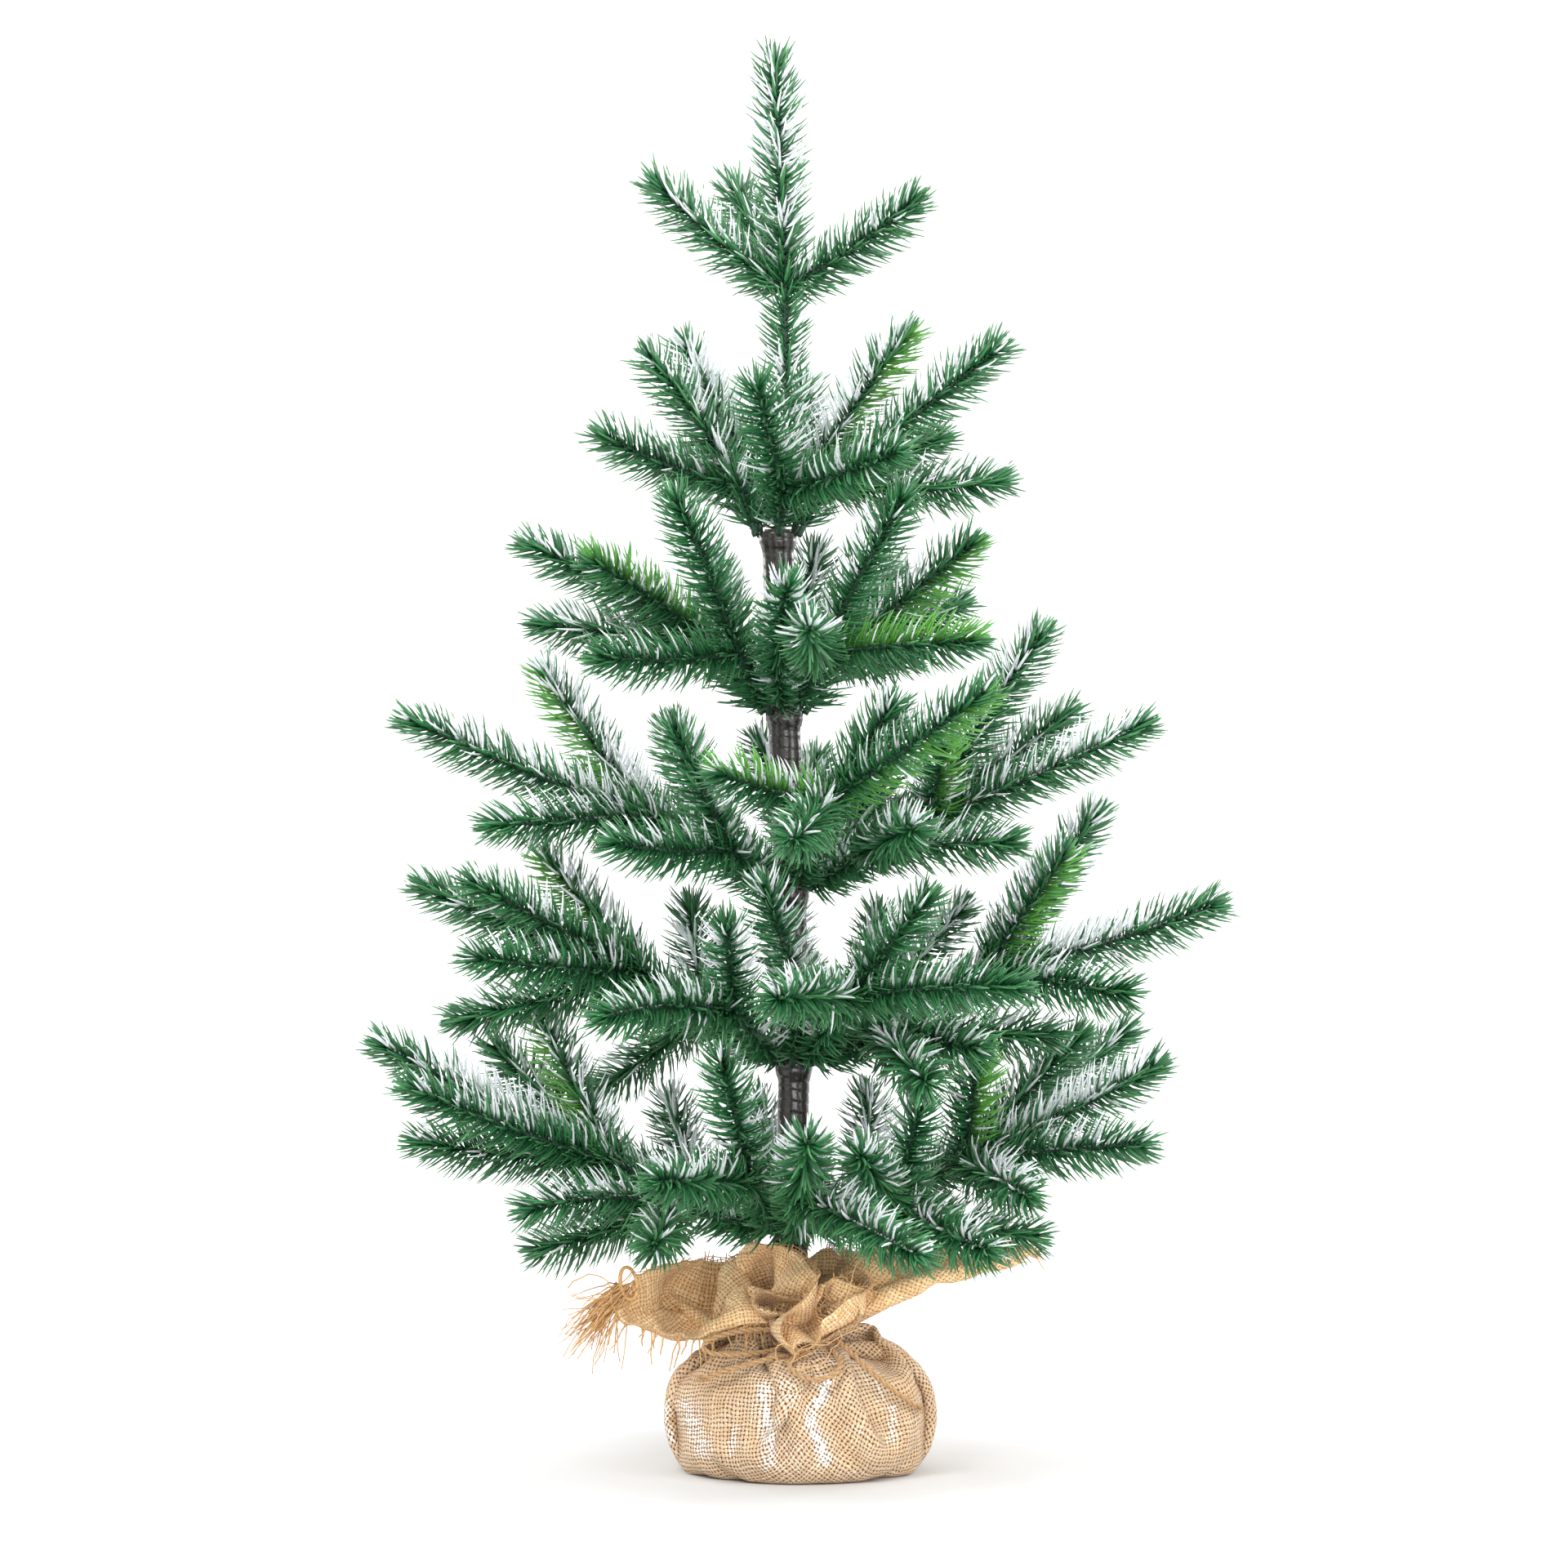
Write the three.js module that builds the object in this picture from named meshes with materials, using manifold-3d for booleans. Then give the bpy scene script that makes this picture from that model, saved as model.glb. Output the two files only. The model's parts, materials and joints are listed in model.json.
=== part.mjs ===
import * as THREE from "three";
import { mergeVertices } from "three/addons/utils/BufferGeometryUtils.js";
import Module from "manifold-3d";

// Artificial tabletop tree: five tiers of bendable branches and a leader on a
// taped trunk, set in a cast weight that is wrapped in a square of burlap and
// tied with jute twine. Millimetres, +Z up, trunk near X = Y = 0, floor at Z = 0.

// --- driving dimensions ---------------------------------------------------
const TRUNK_R = 5.5; // steel trunk tube, outside radius
const TRUNK_TOP_Z = 391;
const TRUNK_FOOT_Z = 8.3; // where the trunk stands in the weight
const TAPE_R = 6.6; // taped trunk, outside radius
const TAPE_BULGE_R = 8.0; // tape build-up under each tier, where the wires nest
const TIER_Z = [99.3, 169.4, 242.1, 315.6, 389.8];
const TRUNK_AXIS = [[0, 1.0], [99.3, 0.7], [169.4, 1.4], [242.1, 0], [315.6, -2.7], [389.8, -5.4], [420, -5.4]]; // [z, x]
const WIRE_R = 1.3; // branch root, wire and wrap together
const STEM_R = [1.3, 1.9, 2.4]; // root to fork
const TWIG_R = [2.2, 3.4, 3.3, 1.4]; // fork to twig end: stem with the plastic of its needles
const NEEDLE_REACH = 8; // last needles stand past the twig end
const TIP_R = 0.6;
const TWIG_SIDES = 5;
const SACK_X = 4; // sack axis
const NECK_X = 3;
const WEIGHT_R = 51;
const WEIGHT_H = 44.5;
const TWINE_R = 1.1;
const SKIN = 0.8; // half of the cloth's thickness

// Each branch: name, root pivot, fork, then one row per twig: control point and end point.
const BRANCHES = [
  ["branch_leader", [-1.36, 0, 395.24], [-2.4, 0, 491.8], [[-4.4, 0, 543.5, -6.5, 0, 586.4], [-23.1, 2, 503.6, -56.3, 8, 536], [-13, 18, 511.5, -24.3, 48, 540.7], [24.4, -6, 503.8, 50.4, -24, 524.6]]],
  ["branch_t2_front", [-4.55, -9.56, 389.8], [-3.4, -22, 406.1], [[-7.7, -42, 423.2, -14, -58, 446.5], [17.2, -44, 407.5, 42.7, -66, 419.2]]],
  ["branch_t2_left", [-14.75, -2.34, 389.8], [-21.4, -4, 408.6], [[-46.8, -8, 413.1, -76.6, -16, 428.8], [-36.1, 2, 438.2, -58.6, 2, 462.8]]],
  ["branch_t2_right", [4.11, -0.92, 389.8], [13, 4, 409.1], [[50.3, -2, 436.2, 85.4, -8, 465.6], [52.1, 16, 406.4, 88.2, 26, 412.9]]],
  ["branch_t2_right_back", [1.63, 6.49, 389.8], [5.9, 18, 412.7], [[23, 20, 439.6, 49, 14, 474.1], [31.9, 36, 418.3, 63.5, 50, 432.5]]],
  ["branch_t2_back_left", [-12.63, 6.36, 389.8], [-14.7, 20, 412.1], [[-28.7, 34, 440.7, -45.1, 42, 471.2], [-30.5, 40, 412.7, -51.8, 62, 425.3]]],
  ["branch_t2_back", [-5.53, 9.6, 389.8], [-1, 28, 412], [[3.5, 44, 432.8, 6, 58, 456.5], [11.3, 54, 414.3, 25.5, 76, 426.3]]],
  ["branch_t3_front_left", [-8.92, -7.33, 315.65], [-21.1, -30, 338.6], [[-32.6, -50, 371.3, -46.2, -64, 399.6], [-49.2, -46, 333.6, -77, -58, 336.6]]],
  ["branch_t3_left", [-12.3, 0.61, 315.65], [-34, 2.1, 345], [[-70.8, 2, 366.7, -108.3, 2, 384.8], [-56.7, -16, 363.3, -80.8, -30, 376.5], [-67.8, 17.6, 347.4, -105, 26.6, 352.6]]],
  ["branch_t3_front_right", [2.33, -8.16, 315.65], [12.1, -34, 338.5], [[25.4, -52, 364.5, 45.4, -62, 401.1], [40.4, -50.6, 341.4, 74.1, -58.1, 343], [8.7, -67.6, 340.3, 6.7, -97.8, 346.7]]],
  ["branch_t3_right", [6.85, 0.7, 315.65], [24.5, 2, 344.3], [[48.4, 2, 361.6, 75, -4, 384.5], [48.9, 24, 350.4, 72.1, 38, 362]]],
  ["branch_t3_front", [-3.43, -9.57, 315.65], [-5.5, -34, 334.5], [[-2.7, -62.2, 347.5, -1.7, -81.4, 364.3]]],
  ["branch_t3_back_left", [-7.69, 8.21, 315.65], [-20, 30, 338.9], [[-28.9, 50, 360, -34.3, 62, 379.7], [-41.3, 62, 342.5, -59.4, 84, 352.4]]],
  ["branch_t3_back", [-1.92, 9.57, 315.65], [2.5, 34, 340.4], [[6, 50, 360, 10.6, 56, 383.6], [-1, 72, 344.2, -2.7, 104, 356.6]]],
  ["branch_t3_back_right", [3.55, 7.27, 315.65], [14.5, 24, 340.1], [[28.7, 52, 357.6, 43.1, 72, 376.7], [35.7, 60.1, 339.1, 53.9, 86.1, 341.9]]],
  ["branch_t4_left", [-9.54, -1.04, 242.18], [-54.9, -6, 270.1], [[-97.4, -12, 284.4, -156.8, -18, 311], [-75, 3.5, 290.1, -103.2, 5.7, 332.1], [-76.7, -21.8, 271.7, -122.1, -28.1, 267.9]]],
  ["branch_t4_front_left", [-4.95, -8.23, 242.18], [-24.1, -40, 258.4], [[-45.7, -56, 255.9, -71.3, -62, 261.3], [-35.2, -52, 280.1, -47.1, -52, 307.6]]],
  ["branch_t4_front_right", [1.82, -9.43, 242.18], [14.6, -56.3, 277.2], [[-6, -74, 281.1, -29.4, -84, 289.6], [45.5, -82.4, 297.3, 76.7, -92.2, 320.9], [26.9, -62, 293.3, 41.1, -64, 317], [7.7, -88, 270.4, 1.1, -122, 262.7]]],
  ["branch_t4_low_right", [7.01, -6.56, 242.18], [31, -33.9, 256.6], [[38.8, -58.8, 262.4, 49.3, -83.8, 267.2], [60.5, -42, 261.7, 89.9, -40, 261]]],
  ["branch_t4_right", [9.58, 0.65, 242.18], [58.5, 4.3, 271.4], [[89.1, 0, 281, 145.5, -10, 309.1], [74.1, 8, 303.8, 105.1, 12, 348], [60.3, -8, 285, 63.3, -18, 300.2], [83.1, 28, 288.5, 117.6, 35.9, 315.1]]],
  ["branch_t4_back_left", [-5.66, 7.75, 242.18], [-30.5, 42, 264.2], [[-41.9, 56, 285, -51.8, 60, 309.6], [-59.1, 72, 270.9, -88.7, 88, 288.6], [-35.4, 88, 263.7, -38.8, 124, 267]]],
  ["branch_t4_back", [-0.02, 9.6, 242.18], [0.1, 46, 267.6], [[-6.2, 64, 285, -12.9, 70, 303.3], [6.1, 86, 277.9, 11.7, 122, 295.9]]],
  ["branch_t4_back_right", [5.62, 7.78, 242.18], [28.5, 40, 265.6], [[36.6, 59.9, 288.5, 46.7, 65.7, 312.9], [57.2, 72, 270.9, 86.2, 92, 285], [33.5, 90, 267.3, 37.1, 128, 274.2]]],
  ["branch_t5_left", [-8.19, -0.93, 169.39], [-60.4, -6.2, 206.4], [[-93.4, -26.6, 224.4, -129.7, -39.4, 244.7], [-105, 4, 220.3, -152.8, 6, 242], [-79.5, 6, 227, -103.2, 10, 255.3], [-89.6, -36, 208.2, -127.6, -52, 214.5], [-98.4, 4.8, 195.6, -138.6, 10.6, 186.2]]],
  ["branch_t5_front_left", [-4.3, -7.76, 169.39], [-22.7, -44, 191.9], [[-48.5, -76, 199.3, -74.4, -92, 192.2], [-24.2, -58, 209.1, -25.7, -66, 227.5]]],
  ["branch_t5_front_right", [5.85, -8.48, 169.39], [23.7, -58, 198.6], [[38.4, -76.5, 219.2, 54.3, -77.4, 238.7], [55.9, -84, 205.1, 90, -94, 204.4], [11.9, -94, 201.4, -6.5, -126, 200.9]]],
  ["branch_t5_front", [0.67, -9.58, 169.39], [5.6, -36, 196.5], [[-2.7, -52, 218.8, -10.6, -58, 244.1]]],
  ["branch_t5_right", [10.96, 0.32, 169.39], [81.7, 0.5, 209], [[123, -3.2, 213.2, 175.1, -8.1, 234.6], [92.1, -7.6, 224.2, 112.9, -18, 255.4], [100.3, 16.3, 233.6, 127.9, 18.9, 271.9], [108.2, -24.5, 202.9, 136.8, -38, 199.6]]],
  ["branch_t5_low_right", [9.67, -4.82, 169.39], [37.1, -29, 183.9], [[57, -48, 180.1, 75.9, -58, 178], [45, -63.5, 174.2, 54.1, -91.4, 166], [74.8, -7.2, 181.4, 109.9, 9.2, 180.1]]],
  ["branch_t5_back_left", [-5.15, 7.05, 169.39], [-37.4, 42, 187.8], [[-58.8, 60, 168.7, -81.7, 64, 154.5], [-39.5, 58, 208, -43.1, 64, 232.4], [-66.2, 74, 195.1, -95.3, 94, 210.2], [-40.1, 96, 185.9, -42.7, 136, 187]]],
  ["branch_t5_back", [1.38, 9.6, 169.39], [1.5, 52, 190.8], [[-0.6, 74, 211, -2.7, 84, 235.4], [4.4, 100, 194, 6.4, 146, 201.1]]],
  ["branch_t5_back_right", [7.25, 7.58, 169.39], [35.5, 44, 188.4], [[53.2, 56, 208.1, 72.9, 58, 231.8], [64.4, 78, 192.4, 93.7, 100, 202.9], [36.8, 74, 207.4, 38.2, 92, 228.1], [42.9, 96, 184.5, 51.8, 138, 183.2]]],
  ["branch_t6_left", [-8.92, 0.06, 99.32], [-73.1, -9.9, 128.1], [[-118.1, -4, 148.6, -169.4, -4, 176.4], [-109.9, -30, 140.3, -154.4, -44, 161.3], [-86.2, 5.7, 152.1, -104.8, 12, 186.6], [-95.8, 28, 145.4, -126.1, 44, 173.8], [-110.8, -13.8, 129.8, -153.2, -16, 136.9]]],
  ["branch_t6_front_left", [-3.09, -8.83, 99.32], [-16.6, -56, 124.4], [[-32, -88, 126.4, -52.4, -116, 129.3], [-20.7, -80, 147.9, -28, -92, 175.7]]],
  ["branch_t6_low_left", [-7.49, -5.03, 99.32], [-49.8, -22, 111.4], [[-74.6, -34, 120.5, -107.3, -36, 110.3], [-74.2, -16.4, 100, -103.8, -12.4, 92.5], [-50.8, -50, 103.3, -55.2, -72, 100.1]]],
  ["branch_t6_front", [2.16, -9.49, 99.32], [3.5, -64.1, 119.6], [[5, -98, 133, 6.8, -128, 145.6], [25.3, -105.8, 112.4, 49.7, -133.1, 101.5]]],
  ["branch_t6_right", [10.25, -0.81, 99.32], [72, -6.4, 128.9], [[105.6, -10, 142.9, 150.3, -18, 168.4], [74.4, -18.3, 149, 76.5, -33.5, 172.7], [93.4, 18, 151.2, 121.7, 26, 178.2], [104.8, 40, 148, 143.4, 56, 179.1], [104.9, -21.8, 134.4, 143.6, -35.9, 137.7], [82.6, -40, 125.5, 95.6, -61.2, 118.7]]],
  ["branch_t6_low_right", [8.24, -5.92, 99.32], [44, -33.8, 111.6], [[72.2, -23, 102.5, 100.3, -19.6, 98.2], [46.4, -50, 132.5, 52.1, -58, 154.2], [35.6, -68.5, 124.7, 26.7, -104.8, 138.5], [61.6, -60, 104.2, 78.7, -84, 98.6]]],
  ["branch_t6_back_left", [-5.47, 7.37, 99.32], [-41.1, 50, 114.2], [[-46.7, 68, 130.3, -52.2, 78, 149], [-68.1, 78, 118.9, -99.1, 98, 128], [-57.7, 86, 102.3, -74.8, 118, 94.1]]],
  ["branch_t6_back", [0.03, 9.58, 99.32], [-3.4, 60, 114.8], [[-8.4, 84, 129.1, -13.4, 96, 146], [2.7, 112, 113.3, 8.3, 160, 116.1], [-15.3, 108, 103.6, -24.7, 150, 94.9]]],
  ["branch_t6_back_right", [6.33, 7.76, 99.32], [35.6, 48, 113.7], [[34.5, 66, 130.4, 33.2, 72, 151.1], [59.1, 76, 117, 82.9, 98, 124.5], [48.8, 90, 102, 62.3, 124, 93.6]]],
];

// Sack skin, from the middle of the floor face up to the neck: outer [r, z], inner [r, z].
const SACK_OUT = [[30, 0], [47, 0], [54.5, 6], [57, 22], [55.5, 34], [49, 44], [36, 49], [23, 50.6], [16.2, 52.5], [15.6, 60]];
const SACK_IN = [[30, 1.6], [46.4, 1.6], [53.0, 7], [55.4, 22], [53.9, 33.4], [47.8, 42.6], [35.4, 47.3], [21.5, 48.9], [9.0, 50.5], [9.0, 61.5]];
// The sack stands higher on its +X side: lift of each skin ring in mm.
const SACK_LIFT = [0, 0, 0, 0, 0, 8, 7, 2.5, 0, 0];
// Flared collar above the tie, every 45 degrees from +X: halfway point and edge point.
const COLLAR_MID = [[48, 0, 84], [26, 26, 76], [2, 50, 84], [-22, 26, 78], [-40, -4, 80], [-21, -23, 68], [-4, -26, 88], [26, -24, 72]];
const COLLAR_END = [[101, 0, 88], [42, 40, 84], [2, 98, 72], [-40, 42, 84], [-77, -11, 63], [-30, -27, 87], [4, -44, 56], [34, -34, 70]];
const COLLAR_STEPS = 6;
const AROUND = 40;

// --- helpers ----------------------------------------------------------------
const wasm = await Module();
wasm.setup();
const V = (p) => new THREE.Vector3(p[0], p[1], p[2]);

function meshOf(positions, triangles) {
  return { p: positions, t: triangles };
}

function geometryOf(m) {
  let g = new THREE.BufferGeometry();
  g.setAttribute("position", new THREE.BufferAttribute(new Float32Array(m.p.flat()), 3));
  g.setIndex(m.t.flat());
  g = mergeVertices(g, 1e-4);
  g.computeVertexNormals();
  return g;
}

function solidOf(m) {
  return new wasm.Manifold(new wasm.Mesh({ numProp: 3, vertProperties: new Float32Array(m.p.flat()), triVerts: new Uint32Array(m.t.flat()) }));
}

function fromSolid(s) {
  const m = s.getMesh();
  let g = new THREE.BufferGeometry();
  const v = new Float32Array((m.vertProperties.length / m.numProp) * 3);
  for (let i = 0; i < v.length / 3; i++) for (let k = 0; k < 3; k++) v[3 * i + k] = m.vertProperties[i * m.numProp + k];
  g.setAttribute("position", new THREE.BufferAttribute(v, 3));
  g.setIndex(Array.from(m.triVerts));
  g = mergeVertices(g, 1e-4);
  g.computeVertexNormals();
  return g;
}

// Tube along a polyline with one radius per point, flat ends, facing out.
function tube(points, radii, sides) {
  const p = [], t = [];
  const pts = points.map((q) => (q.isVector3 ? q : V(q)));
  let prev = null, u = null;
  pts.forEach((q, i) => {
    const a = pts[Math.max(0, i - 1)], b = pts[Math.min(pts.length - 1, i + 1)];
    const d = b.clone().sub(a).normalize();
    if (!u) {
      u = Math.abs(d.z) < 0.9 ? new THREE.Vector3(0, 0, 1) : new THREE.Vector3(1, 0, 0);
      u.sub(d.clone().multiplyScalar(u.dot(d))).normalize();
    } else u.sub(d.clone().multiplyScalar(u.dot(d))).normalize();
    const w = d.clone().cross(u);
    for (let k = 0; k < sides; k++) {
      const ang = (2 * Math.PI * k) / sides;
      const c = q.clone().addScaledVector(u, radii[i] * Math.cos(ang)).addScaledVector(w, radii[i] * Math.sin(ang));
      p.push([c.x, c.y, c.z]);
    }
    prev = d;
  });
  const n = pts.length;
  for (let i = 0; i < n - 1; i++)
    for (let k = 0; k < sides; k++) {
      const a = i * sides + k, b = i * sides + ((k + 1) % sides), c = a + sides, d = b + sides;
      t.push([a, b, d], [a, d, c]);
    }
  for (let k = 1; k < sides - 1; k++) {
    t.push([0, k + 1, k]);
    const e = (n - 1) * sides;
    t.push([e, e + k, e + k + 1]);
  }
  return meshOf(p, t);
}

function quad(a, c, b, n) {
  const out = [];
  for (let i = 0; i <= n; i++) {
    const t = i / n;
    out.push(V([0, 1, 2].map((k) => (1 - t) * (1 - t) * a[k] + 2 * t * (1 - t) * c[k] + t * t * b[k])));
  }
  return out;
}

function ball(c, r) {
  const g = new THREE.IcosahedronGeometry(r, 0);
  g.deleteAttribute("normal");
  g.deleteAttribute("uv");
  const m = mergeVertices(g, 1e-4);
  const p = [], t = [];
  for (let i = 0; i < m.attributes.position.count; i++) p.push([m.attributes.position.getX(i) + c[0], m.attributes.position.getY(i) + c[1], m.attributes.position.getZ(i) + c[2]]);
  for (let i = 0; i < m.index.count; i += 3) t.push([m.index.getX(i), m.index.getX(i + 1), m.index.getX(i + 2)]);
  return meshOf(p, t);
}

function trunkX(z) {
  for (let i = 0; i < TRUNK_AXIS.length - 1; i++) {
    const [z0, x0] = TRUNK_AXIS[i], [z1, x1] = TRUNK_AXIS[i + 1];
    if (z <= z1) return x0 + ((x1 - x0) * (z - z0)) / (z1 - z0);
  }
  return TRUNK_AXIS[TRUNK_AXIS.length - 1][1];
}

// Rings of vertices, each an array of [x, y, z]; consecutive rings are joined, the last to the first.
function closedRings(rings) {
  const n = rings[0].length, p = rings.flat(), t = [];
  for (let i = 0; i < rings.length; i++) {
    const j = (i + 1) % rings.length;
    for (let k = 0; k < n; k++) {
      const a = i * n + k, b = i * n + ((k + 1) % n), c = j * n + k, d = j * n + ((k + 1) % n);
      t.push([a, b, d], [a, d, c]);
    }
  }
  return meshOf(p, t);
}

// Rings between two end points on an axis.
function cappedRings(first, rings, last) {
  const n = rings[0].length, p = [first, ...rings.flat(), last], t = [];
  for (let k = 0; k < n; k++) t.push([0, 1 + ((k + 1) % n), 1 + k]);
  for (let i = 0; i < rings.length - 1; i++)
    for (let k = 0; k < n; k++) {
      const a = 1 + i * n + k, b = 1 + i * n + ((k + 1) % n), c = a + n, d = b + n;
      t.push([a, b, d], [a, d, c]);
    }
  const e = 1 + (rings.length - 1) * n, z = p.length - 1;
  for (let k = 0; k < n; k++) t.push([z, e + k, e + ((k + 1) % n)]);
  return meshOf(p, t);
}

const circle = (x, r, z, n) => Array.from({ length: n }, (_, k) => {
  const a = (2 * Math.PI * k) / n;
  return [x + r * Math.cos(a), r * Math.sin(a), z];
});

// --- parts --------------------------------------------------------------------
const tree = new THREE.Group();
tree.name = "tabletop_tree";
function add(name, geometry, color, roughness = 0.8, metalness = 0) {
  const mesh = new THREE.Mesh(geometry, new THREE.MeshStandardMaterial({ color, roughness, metalness }));
  mesh.name = name;
  tree.add(mesh);
}

// Trunk tube
{
  const zs = [TRUNK_FOOT_Z, 99.3, 169.4, 242.1, 315.6, 389.8, TRUNK_TOP_Z];
  const rings = zs.map((z) => circle(trunkX(z), TRUNK_R, z, 16));
  add("trunk_pole", geometryOf(cappedRings([trunkX(zs[0]), 0, zs[0]], rings, [trunkX(TRUNK_TOP_Z), 0, TRUNK_TOP_Z])), 0x2a2620, 0.5, 0.6);
}

// Tape sleeves between the tiers, thicker just under each tier
TIER_Z.forEach((zt, i) => {
  const z0 = i === 0 ? 50 : TIER_Z[i - 1] + 1.2, z1 = zt + 0.6;
  const prof = [[z0, TAPE_R], [z1 - 9, TAPE_R], [z1 - 4.5, TAPE_BULGE_R], [z1 - 0.8, TAPE_BULGE_R], [z1, TAPE_R + 0.4]];
  const inner = [z1, z0].map((z) => circle(trunkX(z), TRUNK_R + 0.3, z, 16));
  const outer = prof.map(([z, r]) => circle(trunkX(z), r, z, 16));
  add(`trunk_wrap_${i + 1}`, geometryOf(closedRings([...outer, ...inner])), 0x1f1a15, 0.35);
});

// Cast weight with the socket the trunk stands in
{
  const prof = [[0, 2.1], [44, 2.1], [50, 7.9], [WEIGHT_R, 21], [49.6, 33], [44.6, 40.5], [35, WEIGHT_H], [0, WEIGHT_H]].map(([r, z]) => new THREE.Vector2(r, z));
  const g = new THREE.LatheGeometry(prof, 40);
  g.rotateX(Math.PI / 2);
  g.translate(SACK_X, 0, 0);
  g.deleteAttribute("normal");
  g.deleteAttribute("uv");
  const m = mergeVertices(g, 1e-4);
  const p = [], t = [];
  for (let i = 0; i < m.attributes.position.count; i++) p.push([m.attributes.position.getX(i), m.attributes.position.getY(i), m.attributes.position.getZ(i)]);
  for (let i = 0; i < m.index.count; i += 3) {
    const tri = [m.index.getX(i), m.index.getX(i + 1), m.index.getX(i + 2)];
    if (tri[0] !== tri[1] && tri[1] !== tri[2] && tri[0] !== tri[2]) t.push(tri);
  }
  const body = solidOf(meshOf(p, t));
  const socket = solidOf(cappedRings([trunkX(8), 0, 8], [circle(trunkX(8), TRUNK_R + 0.3, 8, 16), circle(trunkX(60), TRUNK_R + 0.3, 60, 16)], [trunkX(60), 0, 60]));
  add("base_weight", fromSolid(body.subtract(socket)), 0x9a968e, 0.95);
}

// Burlap: floor face, side, shoulder, gathered neck and flared collar in one cloth
{
  const step = (a) => {
    const k = Math.floor(a / 45) % 8, f0 = a / 45 - Math.floor(a / 45), f = f0 * f0 * (3 - 2 * f0);
    const mix = (T) => [0, 1, 2].map((c) => T[k][c] * (1 - f) + T[(k + 1) % 8][c] * f);
    return [mix(COLLAR_MID), mix(COLLAR_END)];
  };
  const collarPoint = (a, t) => {
    const r = (a * Math.PI) / 180, n = [NECK_X + 15 * Math.cos(r), 15 * Math.sin(r), 60];
    const [m, e] = step(((a % 360) + 360) % 360);
    return V([0, 1, 2].map((c) => {
      const ctrl = 2 * m[c] - 0.5 * n[c] - 0.5 * e[c];
      return (1 - t) * (1 - t) * n[c] + 2 * t * (1 - t) * ctrl + t * t * e[c];
    }));
  };
  const az = Array.from({ length: AROUND }, (_, k) => (360 * k) / AROUND);
  const skin = (prof, neckX, neckFrom) => prof.map(([r, z], i) => az.map((a) => {
    const ar = (a * Math.PI) / 180, c = Math.max(0, Math.cos(ar));
    return [(i >= neckFrom ? neckX : SACK_X) + r * Math.cos(ar), r * Math.sin(ar), z + SACK_LIFT[i] * c * c];
  }));
  const outer = skin(SACK_OUT, NECK_X, 8), inner = skin(SACK_IN, 1, 8);
  const lower = [], upper = [];
  for (let s = 1; s <= COLLAR_STEPS; s++) {
    const t = s / COLLAR_STEPS, lo = [], up = [];
    for (const a of az) {
      const p = collarPoint(a, t);
      const pa = collarPoint(a + 2, t).sub(collarPoint(a - 2, t));
      const pt = collarPoint(a, Math.min(1, t + 0.02)).sub(collarPoint(a, t - 0.02));
      const n = pt.cross(pa).normalize().multiplyScalar(SKIN);
      lo.push([p.x - n.x, p.y - n.y, p.z - n.z]);
      up.push([p.x + n.x, p.y + n.y, p.z + n.z]);
    }
    lower.push(lo);
    upper.push(up);
  }
  const rings = [...outer, ...lower, ...upper.reverse(), ...inner.slice().reverse()];
  add("burlap_wrap", geometryOf(cappedRings([SACK_X, 0, 0], rings, [SACK_X, 0, 1.6])), 0xd3ad7a, 0.95);
}

// Twine: ring round the neck, knot, two loops and two tails
{
  const ring = [[16.4, 54.4], [18.6, 54.4], [19.0, 56.4], [18.6, 58.4], [16.4, 58.4]].map(([r, z]) => circle(NECK_X, r, z, 24));
  add("twine_tie", geometryOf(closedRings(ring)), 0xb98f5c, 0.9);
  const k = new THREE.SphereGeometry(1, 12, 8);
  k.rotateX(Math.PI / 2);
  k.scale(3.0, 2.0, 2.6);
  k.translate(9, -20.8, 56.2);
  k.deleteAttribute("normal");
  k.deleteAttribute("uv");
  const kg = mergeVertices(k, 1e-4);
  kg.computeVertexNormals();
  add("twine_knot", kg, 0xb98f5c, 0.9);
  const strand = (name, pts, steps) => {
    const c = new THREE.CatmullRomCurve3(pts.map(V));
    const q = c.getPoints(steps);
    add(name, geometryOf(tube(q, q.map(() => TWINE_R), 8)), 0xb98f5c, 0.9);
  };
  strand("bow_loop_left", [[3.6, -21.6, 58.6], [-5, -26.5, 60.2], [-14, -30.5, 61.2], [-24, -33.2, 60.2], [-32, -35, 58.0], [-35.8, -36.4, 55.2], [-33, -37.6, 52.6], [-24, -37.6, 51.6], [-14, -34.5, 52.0], [-5, -29.0, 53.0], [2.6, -23.6, 54.2]], 20);
  strand("bow_loop_right", [[9.6, -24.6, 53.0], [4, -35, 51.8], [-0.5, -45, 49.6], [1.5, -51.5, 46.6], [8, -54.4, 43.8], [16, -53, 44.8], [20.5, -48.5, 48.6], [18.5, -39, 52.4], [13.4, -24.4, 54.6]], 20);
  strand("twine_tail_left", [[6.0, -24.0, 52.4], [0.2, -33.5, 50.6], [-8, -41, 50.6], [-17, -43.8, 48.6], [-27, -42, 45.8], [-35.5, -37.6, 42]], 16);
  strand("twine_tail_right", [[14.0, -21.6, 57.2], [19.5, -32, 56.4], [25, -42, 53.0], [31.5, -46.5, 47.0], [39.5, -44.5, 40.0], [48.5, -38.2, 32.6], [52.5, -33.8, 30]], 16);
}

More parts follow.
